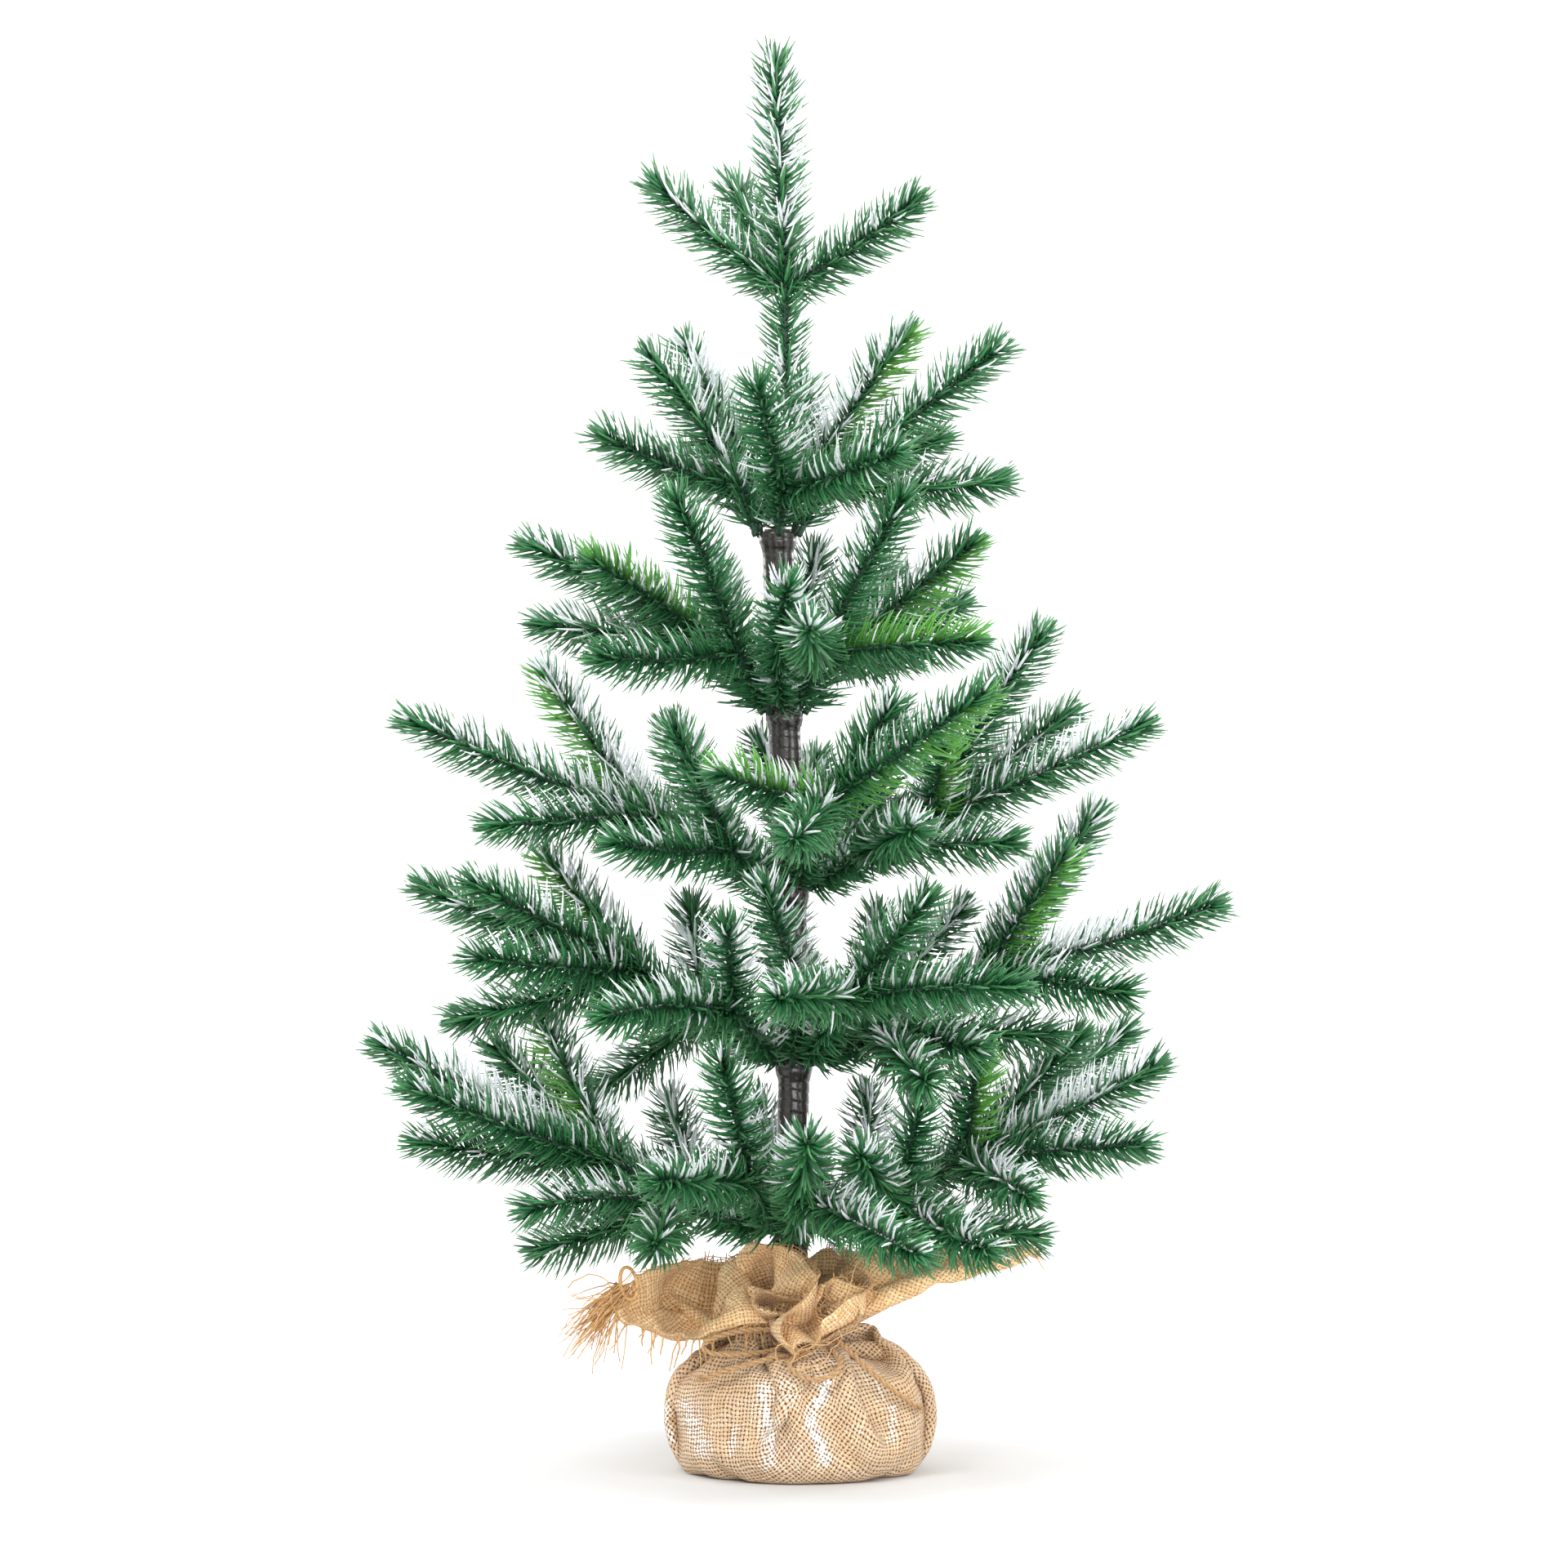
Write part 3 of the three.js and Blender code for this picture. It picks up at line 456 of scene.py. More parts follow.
# name, root pivot, fork, twigs: (control point, end point, frost, side painted as lit through, in x and z)
BRANCHES = [
    ("branch_leader", (-1.36, 0.0, 395.24), (-2.4, 0.0, 491.8), [((-4.4, 0.0, 543.5), (-6.5, 0.0, 586.4), 0.55, 0, 0), ((-23.1, 2.0, 503.6), (-56.3, 8.0, 536.0), 0.35, 0, 0), ((-13.0, 18.0, 511.5), (-24.3, 48.0, 540.7), 0.35, 0, 0), ((24.4, -6.0, 503.8), (50.4, -24.0, 524.6), 0.35, 0, 0)]),
    ("branch_t2_front", (-4.55, -9.56, 389.8), (-3.4, -22.0, 406.1), [((-7.7, -42.0, 423.2), (-14.0, -58.0, 446.5), 0.25, 0, 0), ((17.2, -44.0, 407.5), (42.7, -66.0, 419.2), 0.2, 0, 0)]),
    ("branch_t2_left", (-14.75, -2.34, 389.8), (-21.4, -4.0, 408.6), [((-46.8, -8.0, 413.1), (-76.6, -16.0, 428.8), 0.3, 0, 0), ((-36.1, 2.0, 438.2), (-58.6, 2.0, 462.8), 0.4, 0, 0)]),
    ("branch_t2_right", (4.11, -0.92, 389.8), (13.0, 4.0, 409.1), [((50.3, -2.0, 436.2), (85.4, -8.0, 465.6), 0.3, 0, 0), ((52.1, 16.0, 406.4), (88.2, 26.0, 412.9), 0.3, 0, 0)]),
    ("branch_t2_right_back", (1.63, 6.49, 389.8), (5.9, 18.0, 412.7), [((23.0, 20.0, 439.6), (49.0, 14.0, 474.1), 0.55, 1, 0), ((31.9, 36.0, 418.3), (63.5, 50.0, 432.5), 0.3, 0, 0)]),
    ("branch_t2_back_left", (-12.63, 6.36, 389.8), (-14.7, 20.0, 412.1), [((-28.7, 34.0, 440.7), (-45.1, 42.0, 471.2), 0.5, 0, 0), ((-30.5, 40.0, 412.7), (-51.8, 62.0, 425.3), 0.3, 0, 0)]),
    ("branch_t2_back", (-5.53, 9.6, 389.8), (-1.0, 28.0, 412.0), [((3.5, 44.0, 432.8), (6.0, 58.0, 456.5), 0.5, 0, 0), ((11.3, 54.0, 414.3), (25.5, 76.0, 426.3), 0.4, 0, 0)]),
    ("branch_t3_front_left", (-8.92, -7.33, 315.65), (-21.1, -30.0, 338.6), [((-32.6, -50.0, 371.3), (-46.2, -64.0, 399.6), 0.15, 0, 0), ((-49.2, -46.0, 333.6), (-77.0, -58.0, 336.6), 0.15, 0, 0)]),
    ("branch_t3_left", (-12.3, 0.61, 315.65), (-34.0, 2.1, 345.0), [((-70.8, 2.0, 366.7), (-108.3, 2.0, 384.8), 0.3, 0, 0), ((-56.7, -16.0, 363.3), (-80.8, -30.0, 376.5), 0.3, 0, 1), ((-67.8, 17.6, 347.4), (-105.0, 26.6, 352.6), 0.5, 0, 0)]),
    ("branch_t3_front_right", (2.33, -8.16, 315.65), (12.1, -34.0, 338.5), [((25.4, -52.0, 364.5), (45.4, -62.0, 401.1), 0.25, 0, 0), ((40.4, -50.6, 341.4), (74.1, -58.1, 343.0), 0.15, 0, 1), ((8.7, -67.6, 340.3), (6.7, -97.8, 346.7), 0.5, 0, 0)]),
    ("branch_t3_right", (6.85, 0.7, 315.65), (24.5, 2.0, 344.3), [((48.4, 2.0, 361.6), (75.0, -4.0, 384.5), 0.25, 1, 0), ((48.9, 24.0, 350.4), (72.1, 38.0, 362.0), 0.3, 0, 0)]),
    ("branch_t3_front", (-3.43, -9.57, 315.65), (-5.5, -34.0, 334.5), [((-2.7, -62.2, 347.5), (-1.7, -81.4, 364.3), 0.6, 0, 0)]),
    ("branch_t3_back_left", (-7.69, 8.21, 315.65), (-20.0, 30.0, 338.9), [((-28.9, 50.0, 360.0), (-34.3, 62.0, 379.7), 0.5, 0, 0), ((-41.3, 62.0, 342.5), (-59.4, 84.0, 352.4), 0.3, 0, 0)]),
    ("branch_t3_back", (-1.92, 9.57, 315.65), (2.5, 34.0, 340.4), [((6.0, 50.0, 360.0), (10.6, 56.0, 383.6), 0.5, 0, 0), ((-1.0, 72.0, 344.2), (-2.7, 104.0, 356.6), 0.4, 0, 0)]),
    ("branch_t3_back_right", (3.55, 7.27, 315.65), (14.5, 24.0, 340.1), [((28.7, 52.0, 357.6), (43.1, 72.0, 376.7), 0.4, 0, 0), ((35.7, 60.1, 339.1), (53.9, 86.1, 341.9), 0.3, 0, 0)]),
    ("branch_t4_left", (-9.54, -1.04, 242.18), (-54.9, -6.0, 270.1), [((-97.4, -12.0, 284.4), (-156.8, -18.0, 311.0), 0.5, 0, 0), ((-75.0, 3.5, 290.1), (-103.2, 5.7, 332.1), 0.6, -1, 0), ((-76.7, -21.8, 271.7), (-122.1, -28.1, 267.9), 0.35, 0, 0)]),
    ("branch_t4_front_left", (-4.95, -8.23, 242.18), (-24.1, -40.0, 258.4), [((-45.7, -56.0, 255.9), (-71.3, -62.0, 261.3), 0.3, 0, 0), ((-35.2, -52.0, 280.1), (-47.1, -52.0, 307.6), 0.4, 0, 0)]),
    ("branch_t4_front_right", (1.82, -9.43, 242.18), (14.6, -56.3, 277.2), [((-6.0, -74.0, 281.1), (-29.4, -84.0, 289.6), 0.35, 0, 1), ((45.5, -82.4, 297.3), (76.7, -92.2, 320.9), 0.2, 1, 0), ((26.9, -62.0, 293.3), (41.1, -64.0, 317.0), 0.3, 0, 0), ((7.7, -88.0, 270.4), (1.1, -122.0, 262.7), 0.35, 0, 0)]),
    ("branch_t4_low_right", (7.01, -6.56, 242.18), (31.0, -33.9, 256.6), [((38.8, -58.8, 262.4), (49.3, -83.8, 267.2), 0.45, 0, 0), ((60.5, -42.0, 261.7), (89.9, -40.0, 261.0), 0.4, 0, 0)]),
    ("branch_t4_right", (9.58, 0.65, 242.18), (58.5, 4.3, 271.4), [((89.1, 0.0, 281.0), (145.5, -10.0, 309.1), 0.55, 0, 0), ((74.1, 8.0, 303.8), (105.1, 12.0, 348.0), 0.35, 0, 0), ((60.3, -8.0, 285.0), (63.3, -18.0, 300.2), 0.3, 1, 0), ((83.1, 28.0, 288.5), (117.6, 35.9, 315.1), 0.5, 0, 0)]),
    ("branch_t4_back_left", (-5.66, 7.75, 242.18), (-30.5, 42.0, 264.2), [((-41.9, 56.0, 285.0), (-51.8, 60.0, 309.6), 0.5, 0, 0), ((-59.1, 72.0, 270.9), (-88.7, 88.0, 288.6), 0.3, 0, 0), ((-35.4, 88.0, 263.7), (-38.8, 124.0, 267.0), 0.3, 0, 0)]),
    ("branch_t4_back", (-0.02, 9.6, 242.18), (0.1, 46.0, 267.6), [((-6.2, 64.0, 285.0), (-12.9, 70.0, 303.3), 0.6, 0, 0), ((6.1, 86.0, 277.9), (11.7, 122.0, 295.9), 0.4, 0, 0)]),
    ("branch_t4_back_right", (5.62, 7.78, 242.18), (28.5, 40.0, 265.6), [((36.6, 59.9, 288.5), (46.7, 65.7, 312.9), 0.4, 0, 0), ((57.2, 72.0, 270.9), (86.2, 92.0, 285.0), 0.3, 0, 0), ((33.5, 90.0, 267.3), (37.1, 128.0, 274.2), 0.3, 0, 0)]),
    ("branch_t5_left", (-8.19, -0.93, 169.39), (-60.4, -6.2, 206.4), [((-93.4, -26.6, 224.4), (-129.7, -39.4, 244.7), 0.3, 0, 0), ((-105.0, 4.0, 220.3), (-152.8, 6.0, 242.0), 0.35, 0, 0), ((-79.5, 6.0, 227.0), (-103.2, 10.0, 255.3), 0.5, -1, 0), ((-89.6, -36.0, 208.2), (-127.6, -52.0, 214.5), 0.25, 0, 0), ((-98.4, 4.8, 195.6), (-138.6, 10.6, 186.2), 0.3, 0, 0)]),
    ("branch_t5_front_left", (-4.3, -7.76, 169.39), (-22.7, -44.0, 191.9), [((-48.5, -76.0, 199.3), (-74.4, -92.0, 192.2), 0.4, 0, 0), ((-24.2, -58.0, 209.1), (-25.7, -66.0, 227.5), 0.5, 0, 0)]),
    ("branch_t5_front_right", (5.85, -8.48, 169.39), (23.7, -58.0, 198.6), [((38.4, -76.5, 219.2), (54.3, -77.4, 238.7), 0.2, 0, 0), ((55.9, -84.0, 205.1), (90.0, -94.0, 204.4), 0.2, 0, 0), ((11.9, -94.0, 201.4), (-6.5, -126.0, 200.9), 0.35, 0, 0)]),
    ("branch_t5_front", (0.67, -9.58, 169.39), (5.6, -36.0, 196.5), [((-2.7, -52.0, 218.8), (-10.6, -58.0, 244.1), 0.6, 0, 0)]),
    ("branch_t5_right", (10.96, 0.32, 169.39), (81.7, 0.5, 209.0), [((123.0, -3.2, 213.2), (175.1, -8.1, 234.6), 0.5, 0, 0), ((92.1, -7.6, 224.2), (112.9, -18.0, 255.4), 0.3, 1, 0), ((100.3, 16.3, 233.6), (127.9, 18.9, 271.9), 0.45, 0, 0), ((108.2, -24.5, 202.9), (136.8, -38.0, 199.6), 0.3, 0, 0)]),
    ("branch_t5_low_right", (9.67, -4.82, 169.39), (37.1, -29.0, 183.9), [((57.0, -48.0, 180.1), (75.9, -58.0, 178.0), 0.3, 0, 0), ((45.0, -63.5, 174.2), (54.1, -91.4, 166.0), 0.3, 0, 0), ((74.8, -7.2, 181.4), (109.9, 9.2, 180.1), 0.3, 0, 0)]),
    ("branch_t5_back_left", (-5.15, 7.05, 169.39), (-37.4, 42.0, 187.8), [((-58.8, 60.0, 168.7), (-81.7, 64.0, 154.5), 0.4, 0, 0), ((-39.5, 58.0, 208.0), (-43.1, 64.0, 232.4), 0.5, 0, 0), ((-66.2, 74.0, 195.1), (-95.3, 94.0, 210.2), 0.3, 0, 0), ((-40.1, 96.0, 185.9), (-42.7, 136.0, 187.0), 0.3, 0, 0)]),
    ("branch_t5_back", (1.38, 9.6, 169.39), (1.5, 52.0, 190.8), [((-0.6, 74.0, 211.0), (-2.7, 84.0, 235.4), 0.5, 0, 0), ((4.4, 100.0, 194.0), (6.4, 146.0, 201.1), 0.3, 0, 0)]),
    ("branch_t5_back_right", (7.25, 7.58, 169.39), (35.5, 44.0, 188.4), [((53.2, 56.0, 208.1), (72.9, 58.0, 231.8), 0.6, 0, 0), ((64.4, 78.0, 192.4), (93.7, 100.0, 202.9), 0.3, 0, 0), ((36.8, 74.0, 207.4), (38.2, 92.0, 228.1), 0.4, 0, 0), ((42.9, 96.0, 184.5), (51.8, 138.0, 183.2), 0.3, 0, 0)]),
    ("branch_t6_left", (-8.92, 0.06, 99.32), (-73.1, -9.9, 128.1), [((-118.1, -4.0, 148.6), (-169.4, -4.0, 176.4), 0.6, 0, 0), ((-109.9, -30.0, 140.3), (-154.4, -44.0, 161.3), 0.3, 0, 0), ((-86.2, 5.7, 152.1), (-104.8, 12.0, 186.6), 0.5, -1, 0), ((-95.8, 28.0, 145.4), (-126.1, 44.0, 173.8), 0.35, 0, 0), ((-110.8, -13.8, 129.8), (-153.2, -16.0, 136.9), 0.2, 0, 0)]),
    ("branch_t6_front_left", (-3.09, -8.83, 99.32), (-16.6, -56.0, 124.4), [((-32.0, -88.0, 126.4), (-52.4, -116.0, 129.3), 0.35, 0, 0), ((-20.7, -80.0, 147.9), (-28.0, -92.0, 175.7), 0.4, 0, 0)]),
    ("branch_t6_low_left", (-7.49, -5.03, 99.32), (-49.8, -22.0, 111.4), [((-74.6, -34.0, 120.5), (-107.3, -36.0, 110.3), 0.4, 0, 0), ((-74.2, -16.4, 100.0), (-103.8, -12.4, 92.5), 0.25, 0, 0), ((-50.8, -50.0, 103.3), (-55.2, -72.0, 100.1), 0.3, 0, 0)]),
    ("branch_t6_front", (2.16, -9.49, 99.32), (3.5, -64.1, 119.6), [((5.0, -98.0, 133.0), (6.8, -128.0, 145.6), 0.6, 0, 0), ((25.3, -105.8, 112.4), (49.7, -133.1, 101.5), 0.5, 0, 0)]),
    ("branch_t6_right", (10.25, -0.81, 99.32), (72.0, -6.4, 128.9), [((105.6, -10.0, 142.9), (150.3, -18.0, 168.4), 0.6, 0, 0), ((74.4, -18.3, 149.0), (76.5, -33.5, 172.7), 0.25, 1, 0), ((93.4, 18.0, 151.2), (121.7, 26.0, 178.2), 0.3, 0, 0), ((104.8, 40.0, 148.0), (143.4, 56.0, 179.1), 0.6, 0, 0), ((104.9, -21.8, 134.4), (143.6, -35.9, 137.7), 0.4, 0, 0), ((82.6, -40.0, 125.5), (95.6, -61.2, 118.7), 0.5, 0, 0)]),
    ("branch_t6_low_right", (8.24, -5.92, 99.32), (44.0, -33.8, 111.6), [((72.2, -23.0, 102.5), (100.3, -19.6, 98.2), 0.3, 0, 0), ((46.4, -50.0, 132.5), (52.1, -58.0, 154.2), 0.4, 0, 0), ((35.6, -68.5, 124.7), (26.7, -104.8, 138.5), 0.4, 0, 0), ((61.6, -60.0, 104.2), (78.7, -84.0, 98.6), 0.4, 0, 0)]),
    ("branch_t6_back_left", (-5.47, 7.37, 99.32), (-41.1, 50.0, 114.2), [((-46.7, 68.0, 130.3), (-52.2, 78.0, 149.0), 0.6, 0, 0), ((-68.1, 78.0, 118.9), (-99.1, 98.0, 128.0), 0.3, 0, 0), ((-57.7, 86.0, 102.3), (-74.8, 118.0, 94.1), 0.3, 0, 0)]),
    ("branch_t6_back", (0.03, 9.58, 99.32), (-3.4, 60.0, 114.8), [((-8.4, 84.0, 129.1), (-13.4, 96.0, 146.0), 0.5, 0, 0), ((2.7, 112.0, 113.3), (8.3, 160.0, 116.1), 0.4, 0, 0), ((-15.3, 108.0, 103.6), (-24.7, 150.0, 94.9), 0.3, 0, 0)]),
    ("branch_t6_back_right", (6.33, 7.76, 99.32), (35.6, 48.0, 113.7), [((34.5, 66.0, 130.4), (33.2, 72.0, 151.1), 0.6, 0, 0), ((59.1, 76.0, 117.0), (82.9, 98.0, 124.5), 0.4, 0, 0), ((48.8, 90.0, 102.0), (62.3, 124.0, 93.6), 0.3, 0, 0)]),
]
NT = np.array([0.0, 0.30, 0.62, 0.86])
NR = np.array([0.50, 0.62, 0.50, 0.28])


def needles(B, p, rng, length=16.6, rows=8, pitch=2.05, start=0.0, end=None, a0=68.0, frost=0.3, bright=(0, 0), tip=True, stem_r=1.1, base_t=0.0, phase=0.0):
    """Needles round the path p: leaving the stem at a steep angle and bending towards its tip."""
    p = resample(p, step=0.5)
    t, n, b = path_frames(p)
    s = np.linspace(0, np.linalg.norm(np.diff(p, axis=0), axis=1).sum(), len(p))
    L = s[-1]
    end = L if end is None else end
    S, PH = [], []
    for j in range(rows):
        x = np.arange(start + pitch * ((j * 3) % rows) / rows, end, pitch)
        x = x + rng.normal(0, pitch * 0.10, len(x))
        S.append(np.clip(x, 0, L))
        PH.append(2 * np.pi * j / rows + phase + rng.normal(0, 0.16, len(x)))
    S, PH = np.concatenate(S), np.concatenate(PH)
    m = len(S)
    u = S / L
    near_tip = smoothstep(0.72, 1.0, u) if tip else np.zeros(m)
    A0 = np.radians(a0 - 22 * near_tip + rng.normal(0, 5, m))
    LN = length * (1 - 0.20 * near_tip) * rng.uniform(0.88, 1.08, m) * (0.86 + 0.14 * smoothstep(0, 0.12, u))
    if tip:
        k = 12
        S = np.concatenate([S, np.full(k, L - 0.6)])
        PH = np.concatenate([PH, 2 * np.pi * np.arange(k) / k * 2.4 + phase])
        A0 = np.concatenate([A0, np.radians(rng.uniform(6, 36, k))])
        LN = np.concatenate([LN, rng.uniform(8.5, 11.0, k)])
        u = np.concatenate([u, np.ones(k)])
        m += k
    A1 = A0 - np.radians(rng.uniform(14, 30, m))
    P = np.stack([np.interp(S, s, p[:, c]) for c in range(3)], 1)
    T = unit(np.stack([np.interp(S, s, t[:, c]) for c in range(3)], 1))
    N = unit(np.stack([np.interp(S, s, n[:, c]) for c in range(3)], 1))
    W = np.cross(T, N)
    R = np.cos(PH)[:, None] * N + np.sin(PH)[:, None] * W
    side = np.cross(T, R)
    tw = rng.normal(0, 0.10, m)[:, None]
    d0 = unit(np.cos(A0)[:, None] * T + np.sin(A0)[:, None] * R + tw * side)
    d1 = unit(np.cos(A1)[:, None] * T + np.sin(A1)[:, None] * R + tw * 2.0 * side + np.array([0, 0, 0.05]))
    q0 = P + R * stem_r * 0.55
    q1 = q0 + d0 * (LN * 0.52)[:, None]
    q2 = q1 + d1 * (LN * 0.50)[:, None]
    tt = np.append(NT, 1.0)
    C = ((1 - tt) ** 2)[None, :, None] * q0[:, None] + (2 * tt * (1 - tt))[None, :, None] * q1[:, None] + (tt**2)[None, :, None] * q2[:, None]
    DT = unit(2 * (1 - tt)[None, :, None] * (q1 - q0)[:, None] + 2 * tt[None, :, None] * (q2 - q1)[:, None])
    E1 = unit(side)[:, None] - DT * (side[:, None] * DT).sum(-1, keepdims=True)
    E1 = unit(E1)
    E2 = np.cross(DT, E1)
    ang = np.array([np.pi / 2, np.pi / 2 + 2.0944, np.pi / 2 + 4.1888])
    ring = C[:, :4, None] + (NR[None, :, None, None] * rng.uniform(0.88, 1.12, m)[:, None, None, None]) * (
        np.cos(ang)[None, None, :, None] * E1[:, :4, None] * 1.15 + np.sin(ang)[None, None, :, None] * E2[:, :4, None] * 0.85)
    V = np.concatenate([ring.reshape(m, 12, 3), C[:, 4:5]], axis=1)
    quads, tris = [], []
    for i in range(3):
        for j in range(3):
            jn = (j + 1) % 3
            quads.append([i * 3 + j, i * 3 + jn, i * 3 + 3 + jn, i * 3 + 3 + j])
    for j in range(3):
        tris.append([9 + j, 9 + (j + 1) % 3, 12])
    tris.append([2, 1, 0])
    base = (np.arange(m) * 13)[:, None, None]
    Q = (np.array(quads)[None] + base).reshape(-1, 4)
    F = (np.array(tris)[None] + base).reshape(-1, 3)
    # look: tint, frost, painted light of the side lit through, distance along the needle
    upness = d0[:, 2]
    win = 0.45 + 0.75 * smoothstep(0.02, 0.28, u) * (1 - 0.75 * smoothstep(0.62, 0.95, u))
    patch = 0.65 + 0.7 * (0.5 + 0.5 * np.sin(u * 7.0 + rng.uniform(0, 6.28)))
    prob = 0.66 * frost * (0.12 + 1.45 * smoothstep(-0.10, 0.75, upness)) * win * patch
    fz = (rng.random(m) < prob) * rng.uniform(0.55, 1.0, m) + 0.16 * frost * smoothstep(0.1, 0.8, upness)
    br = np.zeros(m)
    # painted light on the side of the twig that light comes through
    if bright != (0, 0):
        br = smoothstep(0.05, 0.75, R[:, 0] * bright[0] + R[:, 2] * bright[1]) * rng.uniform(0.55, 1.0, m)
    tint = np.clip(0.42 + 0.22 * rng.standard_normal(m), 0, 1)
    at = np.zeros((m, 13, 4))
    at[:, :, 0] = tint[:, None]
    alongv = np.append(np.repeat(NT, 3), 1.0)
    at[:, :, 1] = fz[:, None] * smoothstep(0.0, 0.35, alongv)[None]
    at[:, :, 2] = br[:, None]
    at[:, :, 3] = alongv[None]
    B.add(V.reshape(-1, 3), Q, F, at.reshape(-1, 4), mat=1)


def stem_tube(B, p, r0, r1, frost, rng, sides=7):
    p = resample(p, step=1.6)
    k = len(p)
    r = np.linspace(r0, r1, k)
    wob = 1 + 0.09 * rng.standard_normal((k, sides))
    v, q, t = tube_mesh(p, r, sides, wobble=wob)
    at = np.zeros((len(v), 4))
    tt, n, b = path_frames(p)
    ang = np.linspace(0, 2 * np.pi, sides, endpoint=False)
    up = (np.cos(ang)[None] * n[:, 2:3] + np.sin(ang)[None] * b[:, 2:3]).ravel()
    at[: k * sides, 1] = np.clip(frost * (0.4 + up), 0, 1)
    B.add(v, q, t, at, mat=0)


def bez(a, c, b, k=24):
    t = np.linspace(0, 1, k)[:, None]
    return (1 - t) ** 2 * np.array(a) + 2 * t * (1 - t) * np.array(c) + t * t * np.array(b)


for bi, (name, root, fork, twigs) in enumerate(BRANCHES):
    rng = np.random.default_rng(100 + bi)
    root, fork = np.array(root, float), np.array(fork, float)
    B = Build()
    main = bez(root, root * 0.45 + fork * 0.55, fork)
    inward = unit(root - fork) * 1.8
    mf = float(np.mean([w[2] for w in twigs]))
    stem_tube(B, np.vstack([root + inward, main]), 1.45, 1.45, mf, rng)
    Lm = np.linalg.norm(fork - root)
    needles(B, main, rng, length=15.0, rows=7, pitch=2.3, start=2.5, a0=66, frost=mf * 0.8, tip=False, stem_r=1.3, phase=bi)
    for wi, (c, e, fr, bx, bz) in enumerate(twigs):
        p = bez(fork, c, e)
        stem_tube(B, p, 1.35, 0.75, fr, rng)
        needles(B, p, rng, frost=fr, bright=(bx, bz), phase=bi + wi * 0.9)
    ob = B.make(name + "_needled", [STEM, NEEDLE])
    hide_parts(name)
    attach(ob, name)

# ---------------------------------------------------------------- trunk
TRUNK_AXIS = np.array([(0, 1.0), (99.3, 0.7), (169.4, 1.4), (242.1, 0), (315.6, -2.7), (389.8, -5.4), (420, -5.4)])
TIER_Z = [99.3, 169.4, 242.1, 315.6, 389.8]


def tape_material():
    m = Nodes("wound_tape")
    look = m.attr("look")
    sep = m.node("SeparateColor")
    m.link(look.outputs["Color"], sep.inputs[0])
    g = m.noise(260, 3, 0.55)
    base = m.ramp(g, [(0.3, srgb(8, 7, 6)), (0.6, srgb(20, 16, 13)), (0.85, srgb(42, 34, 28))])
    # painted highlight: the raised lap edges of the tape are mixed lighter
    col = m.mix(m.math("MULTIPLY", sep.outputs[0], 0.40), base, srgb(52, 43, 36))
    m.put(m.bsdf.inputs["Base Color"], col)
    m.put(m.bsdf.inputs["Roughness"], m.math("MULTIPLY_ADD", g, 0.25, c=0.16))
    m.bsdf.inputs["Coat Weight"].default_value = 0.4
    m.bsdf.inputs["Coat Roughness"].default_value = 0.12
    m.put(m.bsdf.inputs["Normal"], m.bump(m.noise(520, 3, 0.6), 0.35, 0.0004))
    return m.mat


TAPE = tape_material()


def tape_sleeve(z0, z1, seed):
    rng = np.random.default_rng(seed)
    zs = np.arange(z0, z1 + 0.01, 0.55)
    prof = np.interp(zs, [z0, z1 - 9, z1 - 4.5, z1 - 0.8, z1], [6.35, 6.35, 7.6, 7.7, 6.6])
    sides = 36
    th = np.linspace(0, 2 * np.pi, sides, endpoint=False)
    pitch = 4.6
    lap = ((zs[:, None] / pitch + th[None] / (2 * np.pi)) + 0.10 * np.sin(th[None] * 2 + seed)) % 1.0
    edge = smoothstep(0.0, 0.14, lap) * (1 - 0.55 * lap)
    r = prof[:, None] + 0.42 * edge - 0.1 + 0.07 * np.sin(3 * th[None] + zs[:, None] * 0.31 + seed)
    x = np.interp(zs, TRUNK_AXIS[:, 0], TRUNK_AXIS[:, 1])
    v = np.stack([x[:, None] + r * np.cos(th), r * np.sin(th), np.broadcast_to(zs[:, None], r.shape)], -1)
    k = len(zs)
    i = np.arange(k - 1)[:, None] * sides
    j = np.arange(sides)[None]
    jn = (j + 1) % sides
    q = np.stack([i + j, i + jn, i + sides + jn, i + sides + j], -1).reshape(-1, 4)
    v = v.reshape(-1, 3)
    a, z = len(v), len(v) + 1
    v = np.vstack([v, [x[0], 0, z0], [x[-1], 0, z1]])
    e = (k - 1) * sides
    jj = np.arange(sides)
    t = np.vstack([np.stack([np.full(sides, a), (jj + 1) % sides, jj], 1), np.stack([np.full(sides, z), e + jj, e + (jj + 1) % sides], 1)])
    at = np.zeros((len(v), 4))
    # the raised lap edge, which also sets the painted highlight in the colour
    at[: k * sides, 0] = (edge * 1.0).ravel()
    return v, q, t, at


for i, zt in enumerate(TIER_Z):
    B = Build()
    z0 = 50.0 if i == 0 else TIER_Z[i - 1] + 1.2
    v, q, t, at = tape_sleeve(z0, zt + 0.6, 20 + i)
    B.add(v, q, t, at)
    ob = B.make("trunk_tape_%d" % (i + 1), [TAPE])
    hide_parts("trunk_wrap_%d" % (i + 1))
    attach(ob, "stand")


def plain(name, stops, scale, rough, bump=0.3, metallic=0.0):
    m = Nodes(name)
    g = m.noise(scale, 4, 0.6)
    m.put(m.bsdf.inputs["Base Color"], m.ramp(g, stops))
    m.put(m.bsdf.inputs["Roughness"], m.math("MULTIPLY_ADD", g, 0.25, c=rough))
    m.bsdf.inputs["Metallic"].default_value = metallic
    m.put(m.bsdf.inputs["Normal"], m.bump(g, bump, 0.0004))
    return m.mat


def finish_node(node, mat):
    ob = frame["nodes"][node]
    ob.data.materials.clear()
    ob.data.materials.append(mat)


finish_node("trunk_pole", plain("trunk_steel", [(0.3, srgb(22, 17, 14)), (0.7, srgb(52, 42, 36))], 300, 0.35))
finish_node("base_weight", plain("cast_weight", [(0.3, srgb(138, 134, 126)), (0.7, srgb(186, 182, 172))], 220, 0.75, 0.6))

